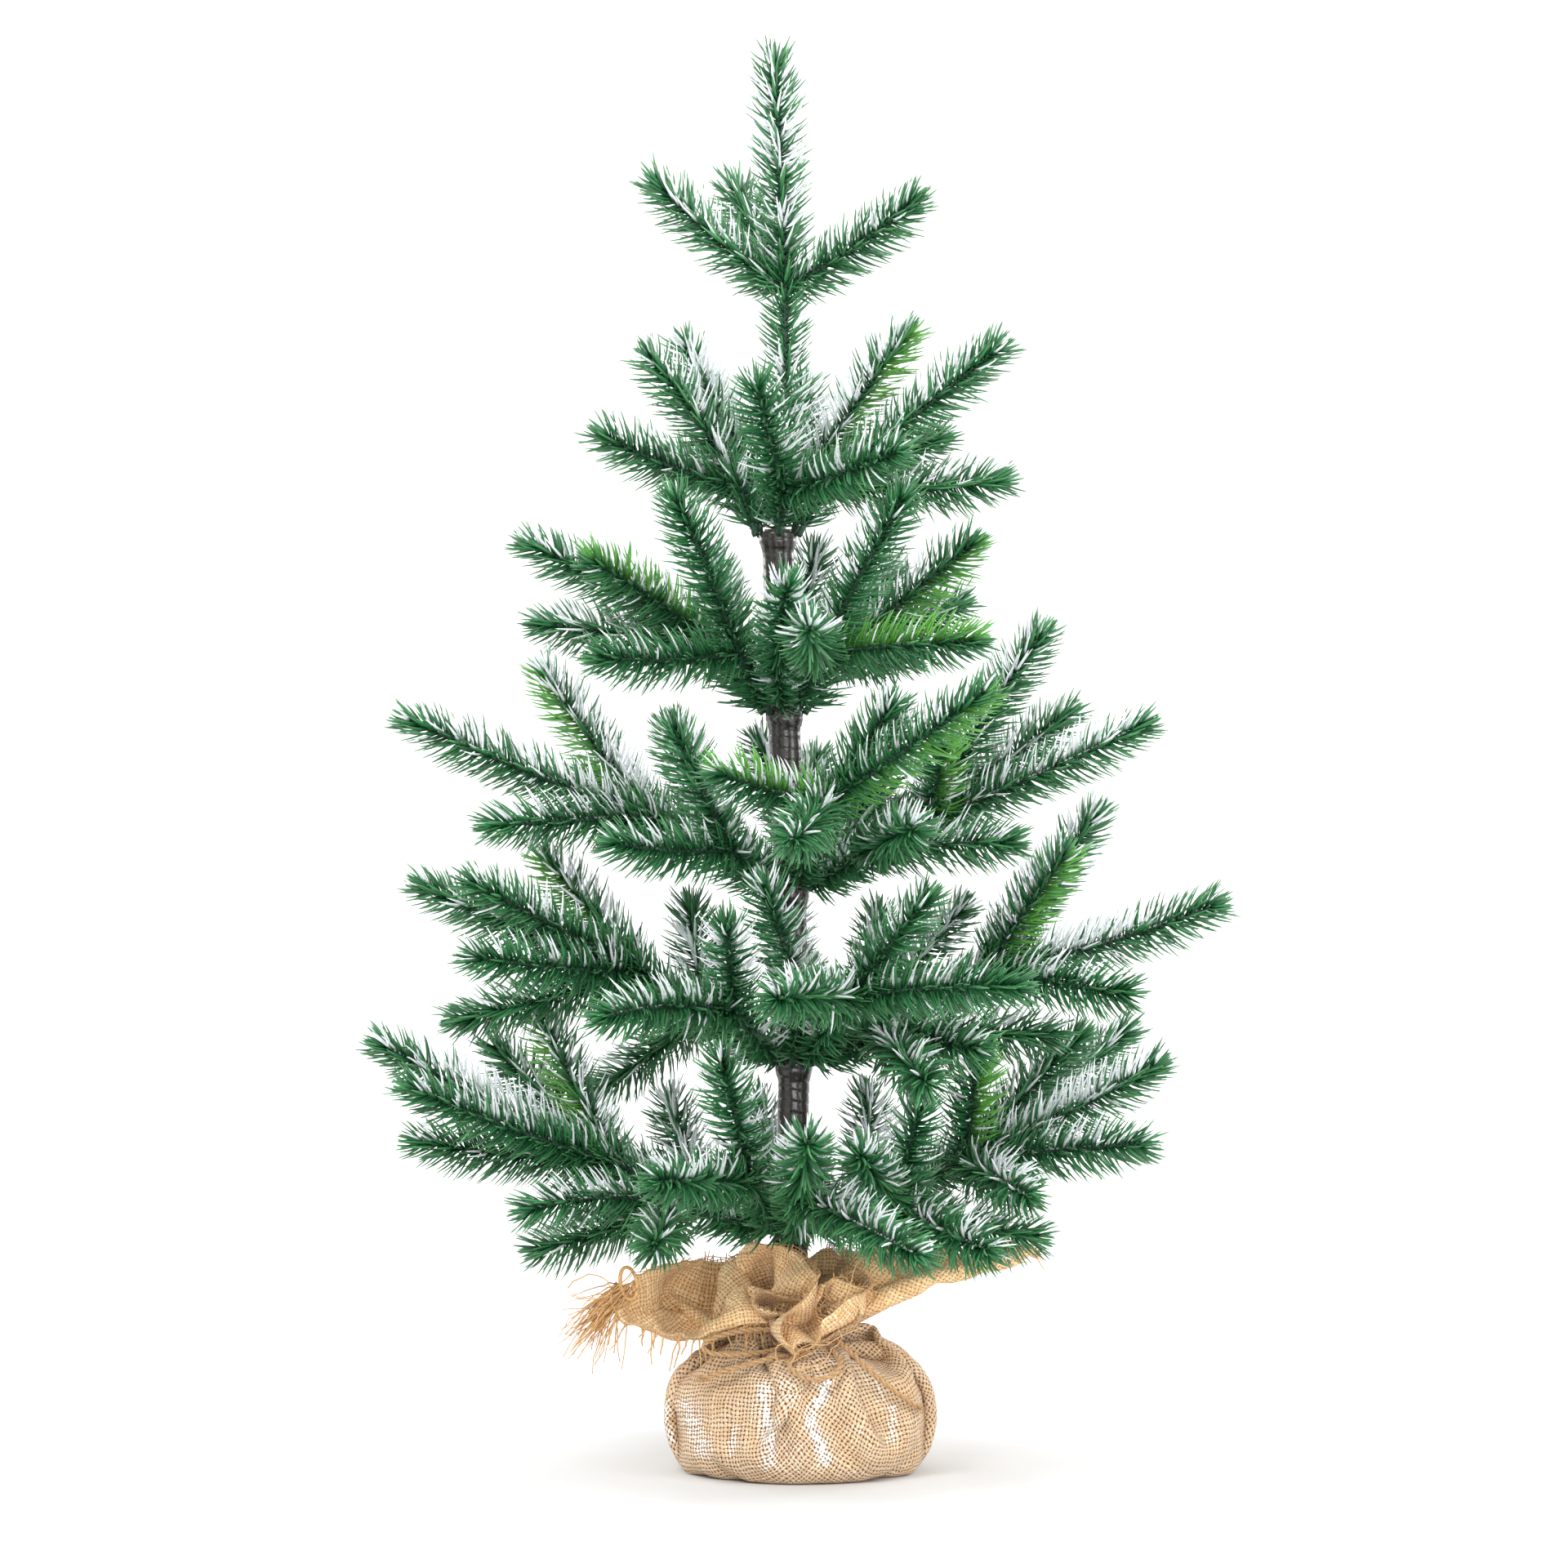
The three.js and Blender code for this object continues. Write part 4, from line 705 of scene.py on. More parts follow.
# ---------------------------------------------------------------- burlap: a square cloth, gathered and tied
CLOTH_SIDE = 350.0
NECK_RHO = 138.0
# the weave ends here: the left corner has come unravelled, the front corner has been cut off
UNRAVELLED, CUT_FRONT = -226.0, -167.0
NECK_Z = 56.5


def cloth_sim(n, steps, seed=7, log=None):
    """Position-based simulation of the square laid flat, drawn up round the weight, cinched at the neck and let fall."""
    rng = np.random.default_rng(seed)
    h = CLOTH_SIDE / (n - 1)
    g = np.linspace(-CLOTH_SIDE / 2, CLOTH_SIDE / 2, n)
    U, Vv = np.meshgrid(g, g, indexing="ij")
    c45 = math.sqrt(0.5)
    X0 = np.stack([(U - Vv) * c45, (U + Vv) * c45], -1).reshape(-1, 2)
    rho = np.linalg.norm(X0, axis=1)
    phi = np.arctan2(X0[:, 1], X0[:, 0])
    N = n * n
    x = np.zeros((N, 3))
    x[:, :2] = X0
    x[:, 0] += 4.0 * (1 - smoothstep(60, 150, rho))
    idx = np.arange(N).reshape(n, n)
    # uneven hem of a hand-cut piece and a few large folds to start the gathers
    fold = np.zeros(N)
    for k, a, p in ((11, 1.0, 0.3), (17, 0.9, 1.9), (23, 0.7, 4.1), (7, 0.8, 2.2)):
        fold += a * np.sin(k * phi + p)
    x[:, 2] = 0.8 + np.maximum(0, 2.2 * smoothstep(52, 120, rho) * (1.6 + fold)) + rng.normal(0, 0.12, N)
    x[rho < 50, 2] = 0.8
    dead = (X0[:, 0] < UNRAVELLED) | (X0[:, 1] < CUT_FRONT)
    cons = []

    def batch(a, b, rest, comp, k):
        cons.append((a.ravel(), b.ravel(), rest, comp, k))

    for par in (0, 1):
        batch(idx[par:-1:2, :], idx[par + 1 :: 2, :][: idx[par:-1:2, :].shape[0]], h, 1.0, 1.0)
        batch(idx[:, par:-1:2], idx[:, par + 1 :: 2][:, : idx[:, par:-1:2].shape[1]], h, 1.0, 1.0)
    d = h * math.sqrt(2)
    for par in (0, 1):
        a = idx[par:-1:2, :-1]
        batch(a, idx[par + 1 :: 2, 1:][: a.shape[0]], d, 1.0, 0.35)
        a = idx[par:-1:2, 1:]
        batch(a, idx[par + 1 :: 2, :-1][: a.shape[0]], d, 1.0, 0.35)
    for sp, kb in ((2, 0.16), (4, 0.08)):
        for par in range(sp * 2):
            if par >= sp:
                continue
            for off in (0, 1):
                r0 = par + off * sp
                a = idx[r0 : -sp : 2 * sp, :]
                b = idx[r0 + sp :: 2 * sp, :][: a.shape[0]]
                if a.size:
                    batch(a, b, h * sp, 0.0, kb)
                a = idx[:, r0 : -sp : 2 * sp]
                b = idx[:, r0 + sp :: 2 * sp][:, : a.shape[1]]
                if a.size:
                    batch(a, b, h * sp, 0.0, kb)
    prof = np.array([(0, 2.0), (44.0, 2.0), (50.3, 8.2), (51.3, 21), (49.9, 33), (44.8, 40.8), (35.2, 44.8), (17, 46.5), (9.5, 54)], float)
    neck = np.abs(rho - NECK_RHO) < h * 0.95
    v = np.zeros_like(x)
    # where the free cloth ends up: (azimuth on the flat cloth, distance from its middle) -> place, mm
    # where the free cloth ends up: (azimuth on the flat cloth, distance from its middle) -> place, mm
    half = CLOTH_SIDE / 2
    k = CLOTH_SIDE / 372
    guides = [
        # right wing: doubled along its diagonal, the fold at the bottom front, rising to the tip
        (0, 246, (101, -4, 90)), (0, 224, (79, -8, 84.5)), (0, 200, (57, -12, 79)), (0, 172, (34, -18, 69)),
        (2.2, 224, (79, 0, 88)), (357.8, 224, (79, 1, 84.5)), (2.4, 200, (57, -3, 84)), (357.6, 200, (57, -3, 79)),
        # back
        (45, 173, (22, 24, 90)), (90, 166, (1, 30, 74)), (90, 201, (2, 60, 80)), (90, 241, (2, 92, 68)), (135, 173, (-18, 30, 86)),
        # hollow of the left wing
        (180, 223, (-72, -11, 72)), (180, 207, (-60, 7, 67)), (180, 188, (-44, 22, 65)), (180, 168, (-30, 26, 62)),
        (174, 206, (-50, -8, 60)), (170, 187, (-31, 1, 60)), (166.4, 170, (-20, 3, 58)),
        # tube in front of the neck
        (225, 157, (-6, -28, 66)), (234, 159, (5, -32, 54)), (240, 159, (12, -30, 60)),
    ]
    # front-left hem, by distance from its middle
    for s, tgt in ((-143, (-66, -17, 87)), (-136, (-61, -12, 87)), (-130, (-50, -2, 87)), (-118, (-42, 7, 87)), (-106, (-35, 15, 88)), (-84, (-20, 20, 91)), (-64, (-13, 5, 94)), (-49, (-9, -11, 94)),
                   (-32, (6, -20, 91)), (-17, (13, -31, 84)), (-2, (6, -40, 74)), (11, (-4, -45, 66)), (20, (-1, -47, 58)), (28, (7, -47, 55.5)), (36, (13, -45, 60)), (44, (11, -42, 67))):
        guides.append((225 + math.degrees(math.atan2(s, half)), math.hypot(s, half) - 1, tgt))
    # back-left hem, by distance from the left corner
    for s, tgt in ((32, (-72, -20, 67)), (41, (-64, -23, 64)), (51, (-55, -25, 61.5)), (62, (-45, -25, 59.5)), (74, (-35, -25, 58)), (86, (-25, -25, 60.5)), (98, (-15, -24, 63)), (110, (-7, -20, 64.5))):
        guides.append((135 + math.degrees(math.atan2(half - s, half)), math.hypot(half - s, half) - 1, tgt))
    # back-right and front-right hem, by distance from the right corner
    for s, tgt in ((9, (96, 1, 92)), (25, (85, 7, 94)), (50, (69, 19, 97)), (75, (53, 31, 97)), (100, (38, 34, 94))):
        guides.append((45 - math.degrees(math.atan2(half - s, half)), math.hypot(half - s, half) - 1, tgt))
    for s, tgt in ((9, (96, 2, 90)), (25, (85, 9, 89)), (50, (69, 22, 84)), (75, (53, 32, 77)), (112, (38, 8, 68)), (138, (33, -16, 67)), (152, (31, -25, 67)), (165, (31, -27, 76)), (178, (22, -28, 81)), (192, (14, -29, 74)), (206, (17, -30, 63))):
        guides.append((315 + math.degrees(math.atan2(half - s, half)), math.hypot(half - s, half) - 1, tgt))
    GI, GT = [], []
    for az, rr, tgt in guides:
        q = np.array([rr * math.cos(math.radians(az)), rr * math.sin(math.radians(az))])
        GI.append(int(np.argmin(((X0 - q) ** 2).sum(1))))
        GT.append(tgt)
    GI, GT = np.array(GI), np.array(GT, float)
    thick = 1.7
    pairs = None
    # the part past the last thread only follows
    stretchy = []
    for a, b, r, c, kk in cons:
        wa = np.where(dead[b] & ~dead[a], 0.0, np.where(dead[a] & ~dead[b], 1.0, 0.5))[:, None]
        stretchy.append((a, b, r, c, kk, wa))
    alive = np.flatnonzero(~dead)
    for st in range(steps):
        tau = st / steps
        draw = smoothstep(0.02, 0.62, tau)
        rn = 15.2 + (NECK_RHO - 15.2) * (1 - draw) ** 1.15
        zn = 1.5 + (NECK_Z - 1.5) * smoothstep(0.0, 0.75, draw) ** 0.9
        if draw < 1:
            zn = max(zn, 58.0 * math.sin(math.pi / 2 * min(1, draw * 1.6)) if draw > 0.05 else zn)
            zn = min(zn, NECK_Z + 10 * (1 - draw))
        damp = 0.90 if tau < 0.8 else 0.80
        grav = 0.30 if tau < 0.66 else 0.16
        prev = x.copy()
        v *= damp
        v[:, 2] -= grav
        # the free cloth is held up a little while the neck closes, as the hands do
        lift = (rho > NECK_RHO) & (tau < 0.7)
        v[lift, 2] += 0.25
        sp = np.linalg.norm(v, axis=1, keepdims=True)
        v *= np.minimum(1, 4.0 / np.maximum(sp, 1e-9))
        x = x + v
        if st % 3 == 0 and tau > 0.15:
            pa, pb = near_pairs(x, thick * 1.5, n)
            ok = ~(dead[pa] | dead[pb])
            pairs = pa[ok], pb[ok]
        for it in range(9):
            for a, b, rest, comp, k, wa in stretchy:
                e = x[b] - x[a]
                L = np.sqrt((e * e).sum(1))
                dlt = L - rest
                if comp == 0.0:
                    dlt = np.minimum(dlt, 0)
                c = (k * dlt / np.maximum(L, 1e-6))[:, None] * e
                x[a] += c * wa
                x[b] -= c * (1 - wa)
            # the tie
            xn = x[neck]
            cx = 3.0 + 1.0 * (1 - draw)
            rr = np.hypot(xn[:, 0] - cx, xn[:, 1])
            f = np.minimum(1, rn / np.maximum(rr, 1e-6))
            xn[:, 0] = cx + (xn[:, 0] - cx) * f
            xn[:, 1] *= f
            xn[:, 2] += (zn - xn[:, 2]) * 0.30
            x[neck] = xn
            if pairs is not None and it % 2 == 1 and len(pairs[0]):
                a, b = pairs
                e = x[b] - x[a]
                L = np.sqrt((e * e).sum(1))
                # layers pack tighter under the twine
                rm = np.hypot(x[a][:, 0] - 2, x[a][:, 1])
                th = thick * (0.55 + 0.45 * smoothstep(17, 34, rm))
                dlt = np.minimum(L - th, 0)
                m = dlt < 0
                if m.any():
                    c = (0.42 * dlt[m] / np.maximum(L[m], 1e-6))[:, None] * e[m]
                    np.add.at(x, a[m], c)
                    np.add.at(x, b[m], -c)
            if tau > 0.45:
                kg = 0.22 * smoothstep(0.45, 0.70, tau) * (1 - 0.35 * smoothstep(0.9, 1.0, tau))
                x[GI] += (GT - x[GI]) * kg
            collide(x, prof)
            if tau > 0.40:
                hold_shape(x, rho)
            if tau > 0.55 and it % 3 == 0:
                clear_of(x, STRANDS, 2.1)
        v = (x - prev) * 0.96
        # friction on what it lies on
        low = x[:, 2] < 1.2
        v[low] *= 0.3
        if log and st % log == 0:
            print("cloth", st, round(rn, 1), round(zn, 1), "max v %.2f" % np.abs(v).max(), "pairs", 0 if pairs is None else len(pairs[0]), flush=True)
    return x, X0, rho, phi, h


def near_pairs(x, r, n):
    """Index pairs closer than r that aren't near each other in the weave."""
    c = np.floor(x / r).astype(np.int64)
    c -= c.min(0) - 1
    dim = c.max(0) + 2
    key = (c[:, 0] * dim[1] + c[:, 1]) * dim[2] + c[:, 2]
    order = np.argsort(key, kind="stable")
    ks = key[order]
    out_a, out_b = [], []
    for dx in (-1, 0, 1):
        for dy in (-1, 0, 1):
            for dz in (-1, 0, 1):
                off = (dx * dim[1] + dy) * dim[2] + dz
                if off < 0:
                    continue
                lo = np.searchsorted(ks, key + off, "left")
                hi = np.searchsorted(ks, key + off, "right")
                cnt = hi - lo
                m = cnt > 0
                if not m.any():
                    continue
                src = np.repeat(np.flatnonzero(m), cnt[m])
                start = np.repeat(lo[m], cnt[m])
                within = np.arange(len(src)) - np.repeat(np.cumsum(cnt[m]) - cnt[m], cnt[m])
                dst = order[start + within]
                if off == 0:
                    keep = dst > src
                    src, dst = src[keep], dst[keep]
                out_a.append(src)
                out_b.append(dst)
    a, b = np.concatenate(out_a), np.concatenate(out_b)
    d = ((x[a] - x[b]) ** 2).sum(1) < r * r
    a, b = a[d], b[d]
    far = (np.abs(a // n - b // n) > 1) | (np.abs(a % n - b % n) > 1)
    return a[far], b[far]


def hold_shape(x, rho):
    """The sack stays as full as its outline, and the collar stays above the tie."""
    m = np.flatnonzero((rho < 134) & (x[:, 2] > 0.8))
    r = np.hypot(x[m, 0] - 4, x[m, 1])
    cap = np.interp(x[m, 2], [0, 3, 9, 22, 34, 44, 50, 54], [47, 50, 54.8, 57.0, 55.2, 50.5, 44, 33])
    f = 1 + 0.5 * (np.minimum(1, cap / np.maximum(r, 1e-6)) - 1)
    x[m, 0] = 4 + (x[m, 0] - 4) * f
    x[m, 1] *= f
    m = np.flatnonzero(rho > 152)
    low = np.where(
        x[m, 1] < -13,
        np.interp(x[m, 0], [-80, -60, -40, -28, -20, -7, -4, 13, 17, 34, 57, 79, 101], [60, 59, 57, 60, 63.5, 61, 52.5, 52.5, 60, 68, 77, 82, 87]),
        np.interp(x[m, 0], [-80, -40, 20, 40, 60, 80, 101], [54, 54, 56, 68, 76, 81, 86]),
    )
    z = x[m, 2]
    x[m, 2] = np.where(z < low, z + 0.35 * (low - z), z)


def clear_of(x, pts, r):
    """Moves the cloth out of the twine strands that lie on it."""
    m = np.flatnonzero((x[:, 1] < -20) & (x[:, 2] > 44) & (x[:, 2] < 66) & (np.abs(x[:, 0]) < 40))
    if not len(m):
        return
    d = x[m][:, None] - pts[None]
    L = np.sqrt((d * d).sum(-1))
    k = L.argmin(1)
    near = L[np.arange(len(m)), k]
    w = near < r
    if w.any():
        v = d[np.arange(len(m)), k][w]
        x[m[w]] += v / np.maximum(near[w], 1e-6)[:, None] * (r - near[w])[:, None]


def collide(x, prof):
    x[:, 2] = np.maximum(x[:, 2], 0.55)
    r = np.hypot(x[:, 0] - 4, x[:, 1])
    m = (r < 56) & (x[:, 2] < 55)
    if m.any():
        q = np.stack([r[m], x[m, 2]], 1)
        best = np.full(len(q), 1e9)
        near = np.zeros_like(q)
        for a, b in zip(prof[:-1], prof[1:]):
            e = b - a
            t = np.clip(((q - a) @ e) / (e @ e), 0, 1)
            p = a + t[:, None] * e
            d = ((q - p) ** 2).sum(1)
            w = d < best
            best = np.where(w, d, best)
            near[w] = p[w]
        # inside when below the upper profile and above the lower one
        up = np.interp(q[:, 0], [9.5, 17, 35.2, 44.8, 49.9, 51.3], [54, 46.5, 44.8, 40.8, 33, 21], right=-1)
        lowp = np.interp(q[:, 0], [0, 44, 50.3, 51.3], [2, 2, 8.2, 21])
        inside = (q[:, 1] < up) & (q[:, 1] > lowp) & (q[:, 0] < 51.3)
        dist = np.sqrt(best)
        off = 0.75
        push = inside | (dist < off)
        if push.any():
            dirv = q - near
            dirv[inside] *= -1
            ln = np.sqrt((dirv * dirv).sum(1))
            ln[ln < 1e-6] = 1
            tgt = near + dirv / ln[:, None] * off
            q2 = np.where(push[:, None], tgt, q)
            # under the weight the cloth stays between it and the floor
            under = push & (near[:, 1] < 2.1) & (q[:, 0] < 50)
            q2[under, 1] = np.clip(q2[under, 1], 0.55, 1.3)
            rm = r[m]
            f = q2[:, 0] / np.maximum(rm, 1e-6)
            xm = x[m]
            xm[:, 0] = 4 + (xm[:, 0] - 4) * f
            xm[:, 1] *= f
            xm[:, 2] = q2[:, 1]
            x[m] = xm
    # trunk
    rt = np.hypot(x[:, 0] - 0.9, x[:, 1])
    m = (rt < 7.7) & (x[:, 2] > 44)
    if m.any():
        f = 7.7 / np.maximum(rt[m], 1e-3)
        x[m, 0] = 0.9 + (x[m, 0] - 0.9) * f
        x[m, 1] *= f
    # needles of the lowest tier hold the collar down
    x[:, 2] = np.minimum(x[:, 2], 95.0 + 5.0 * smoothstep(30, 60, x[:, 0]))


def finer(A):
    """Doubles a grid along both axes with a smooth four-point scheme."""
    for _ in range(2):
        e = np.concatenate([2 * A[:1] - A[1:2], A, 2 * A[-1:] - A[-2:-1]])
        mid = (9 * (e[1:-2] + e[2:-1]) - e[:-3] - e[3:]) / 16
        out = np.empty((2 * len(A) - 1,) + A.shape[1:])
        out[::2] = A
        out[1::2] = mid
        A = out.swapaxes(0, 1)
    return A


def relax_grid(A, k):
    for _ in range(k):
        P = np.pad(A, ((1, 1), (1, 1), (0, 0)), mode="edge")
        avg = (P[:-2, 1:-1] + P[2:, 1:-1] + P[1:-1, :-2] + P[1:-1, 2:]) / 4
        A = A.copy()
        A[1:-1, 1:-1] = 0.6 * A[1:-1, 1:-1] + 0.4 * avg[1:-1, 1:-1]
    return A


def picture(p):
    """Where a place falls in the front view, in units of the 1920-wide frame."""
    f = 2000 / (2000 + p[..., 1])
    return 968 + 2.94 * p[..., 0] * f, 960 + 2.94 * (285 - p[..., 2]) * f


def near_line(x, y, pts):
    d = np.full(x.shape, 1e9)
    for (x0, y0), (x1, y1) in zip(pts[:-1], pts[1:]):
        ex, ey = x1 - x0, y1 - y0
        t = np.clip(((x - x0) * ex + (y - y0) * ey) / (ex * ex + ey * ey), 0, 1)
        d = np.minimum(d, np.hypot(x - x0 - t * ex, y - y0 - t * ey))
    return d


# brushed white paint on the sack: lines in the front view with their half width and strength
PAINT = [
    ([(935, 1700), (937, 1730), (941, 1758), (942, 1794)], 10, 1.0),
    ([(1012, 1690), (1006, 1712), (992, 1736), (998, 1756), (1011, 1789)], 9, 1.1),
    ([(962, 1700), (968, 1716)], 16, 0.55),
    ([(958, 1744), (974, 1772)], 16, 0.30),
    ([(1094, 1720), (1091, 1764)], 5, 0.8),
    ([(1066, 1690), (1078, 1712)], 9, 0.30),
    ([(842, 1722), (850, 1750), (862, 1776)], 13, 0.75),
    ([(900, 1750), (895, 1778)], 6, 0.7),
    ([(818, 1722), (816, 1742), (822, 1764)], 6, 0.8),
    ([(1014, 1606), (1026, 1634)], 9, 0.5),
    ([(946, 1690), (1010, 1684)], 9, 0.35),
    ([(1040, 1752), (1060, 1770)], 14, 0.30),
    ([(996, 1662), (1020, 1668)], 6, 0.5),
    ([(905, 1794), (1060, 1806)], 5, 0.25),
]
WEAVE = 1.72


def burlap_material(threads=False):
    m = Nodes("burlap_threads" if threads else "burlap_weave")
    look = m.attr("look")
    sep = m.node("SeparateColor")
    m.link(look.outputs["Color"], sep.inputs[0])
    paint, shade = sep.outputs[0], sep.outputs[1]
    flat = m.attr("flat").outputs["Vector"]
    dark, mid, light = srgb(132, 88, 46), srgb(202, 162, 112), srgb(234, 204, 160)
    fine = m.noise(2.2, 3, 0.65, flat)
    if threads:
        col = m.ramp(fine, [(0.25, srgb(160, 110, 62)), (0.5, srgb(208, 162, 108)), (0.8, srgb(240, 208, 162))])
        m.put(m.bsdf.inputs["Base Color"], col)
        m.put(m.bsdf.inputs["Roughness"], m.math("MULTIPLY_ADD", fine, 0.15, c=0.8))
        m.put(m.bsdf.inputs["Normal"], m.bump(fine, 0.5, 0.0003))
    else:
        # threads wander a little
        wob = m.noise(0.11, 2, 0.5, flat, out=1)
        off = m.node("VectorMath", operation="SUBTRACT")
        m.link(wob, off.inputs[0])
        off.inputs[1].default_value = (0.5, 0.5, 0.5)
        sc = m.node("VectorMath", operation="SCALE")
        m.link(off.outputs[0], sc.inputs[0])
        sc.inputs["Scale"].default_value = 3.4
        ad = m.node("VectorMath", operation="ADD")
        m.link(flat, ad.inputs[0])
        m.link(sc.outputs[0], ad.inputs[1])
        xyz = m.node("SeparateXYZ")
        m.link(ad.outputs[0], xyz.inputs[0])
        px = m.math("MULTIPLY", xyz.outputs[0], math.pi / WEAVE)
        py = m.math("MULTIPLY", xyz.outputs[1], math.pi / WEAVE)
        su, sv = m.math("SINE", px), m.math("SINE", py)
        pu, pv = m.math("ABSOLUTE", su), m.math("ABSOLUTE", sv)
        # plain weave: which thread is on top alternates like a chessboard
        top = m.math("MULTIPLY", m.math("MULTIPLY", su, sv), 2.2)
        top = m.math("MULTIPLY_ADD", top, 0.5, clamp=True, c=0.5)
        # each thread has a tone and a thickness of its own
        def streak(kx, ky):
            mp = m.node("VectorMath", operation="MULTIPLY")
            m.link(ad.outputs[0], mp.inputs[0])
            mp.inputs[1].default_value = (kx, ky, 0)
            return m.noise(1.0, 2, 0.6, mp.outputs[0])
        tone_u, tone_v = streak(0.62, 0.035), streak(0.035, 0.62)
        wu = m.math("MULTIPLY", m.math("POWER", pu, 0.8), m.math("MULTIPLY_ADD", tone_u, 0.9, c=0.55))
        wv = m.math("MULTIPLY", m.math("POWER", pv, 0.8), m.math("MULTIPLY_ADD", tone_v, 0.9, c=0.55))
        hu = m.math("MULTIPLY", wu, m.math("MULTIPLY_ADD", top, 0.55, c=0.45))
        hv = m.math("MULTIPLY", wv, m.math("MULTIPLY_ADD", top, -0.55, c=1.0))
        height = m.math("MAXIMUM", hu, hv)
        tone = m.math("ADD", m.math("MULTIPLY", tone_u, top), m.math("MULTIPLY", tone_v, m.math("SUBTRACT", 1.0, top)))
        tone = m.math("ADD", m.math("MULTIPLY", tone, 0.75), m.math("MULTIPLY", fine, 0.42))
        col = m.ramp(tone, [(0.30, srgb(158, 114, 68)), (0.55, srgb(204, 164, 116)), (0.80, srgb(236, 208, 166))])
        big = m.noise(0.03, 3, 0.6, flat)
        col = m.mix(m.math("MULTIPLY_ADD", big, 0.5, clamp=True, c=-0.12), col, srgb(176, 128, 78), "MIX")
        # a little white dust all over the sack
        dust = m.noise(0.06, 3, 0.6, flat)
        col = m.mix(m.math("MULTIPLY", sep.outputs[2], m.math("MULTIPLY_ADD", dust, 0.78, c=-0.12)), col, srgb(216, 207, 193))
        # the collar has no paint or dust on it; its colour is lightened by about half as painted light, making up for
        # the shade the tree casts on it
        pale = m.node("Mix", data_type="RGBA", blend_type="MULTIPLY")
        m.put(pale.inputs[0], m.math("SUBTRACT", 1.0, sep.outputs[2]))
        m.link(col, pale.inputs[6])
        pale.inputs[7].default_value = (1.46, 1.57, 1.68, 1)
        col = pale.outputs[2]
        # the gaps between the threads, painted dark brown as shade in place of open holes; fainter on the collar
        gap_shade = m.math("MULTIPLY_ADD", height, -3.2, clamp=True, c=2.12)
        gap_shade = m.math("MULTIPLY", gap_shade, m.math("MULTIPLY_ADD", sep.outputs[2], 0.40, c=0.60))
        col = m.mix(gap_shade, col, srgb(74, 44, 20))
        # paint catches the raised threads
        pat = m.noise(0.35, 3, 0.7, flat)
        cover = m.math("MULTIPLY", paint, m.math("MULTIPLY_ADD", pat, 2.9, c=-0.90))
        cover = m.math("MULTIPLY", m.math("SUBTRACT", m.math("ADD", m.math("MULTIPLY", height, 0.85), cover), 0.88), 3.2, clamp=True)
        cover = m.math("MULTIPLY", cover, m.math("GREATER_THAN", paint, 0.02))
        col = m.mix(m.math("MULTIPLY", cover, 0.86), col, srgb(232, 232, 230))
        # painted shade in the gathers near the neck, mixed towards dark brown
        col = m.mix(m.math("MULTIPLY", shade, 0.75), col, srgb(96, 56, 24))
        m.put(m.bsdf.inputs["Base Color"], col)
        m.put(m.bsdf.inputs["Roughness"], m.math("MULTIPLY_ADD", fine, 0.12, c=0.84))
        m.put(m.bsdf.inputs["Normal"], m.bump(m.math("ADD", height, m.math("MULTIPLY", fine, 0.25)), 0.85, 0.0006))
    m.bsdf.inputs["Sheen Weight"].default_value = 0.15
    m.bsdf.inputs["Specular IOR Level"].default_value = 0.12
    return m.mat


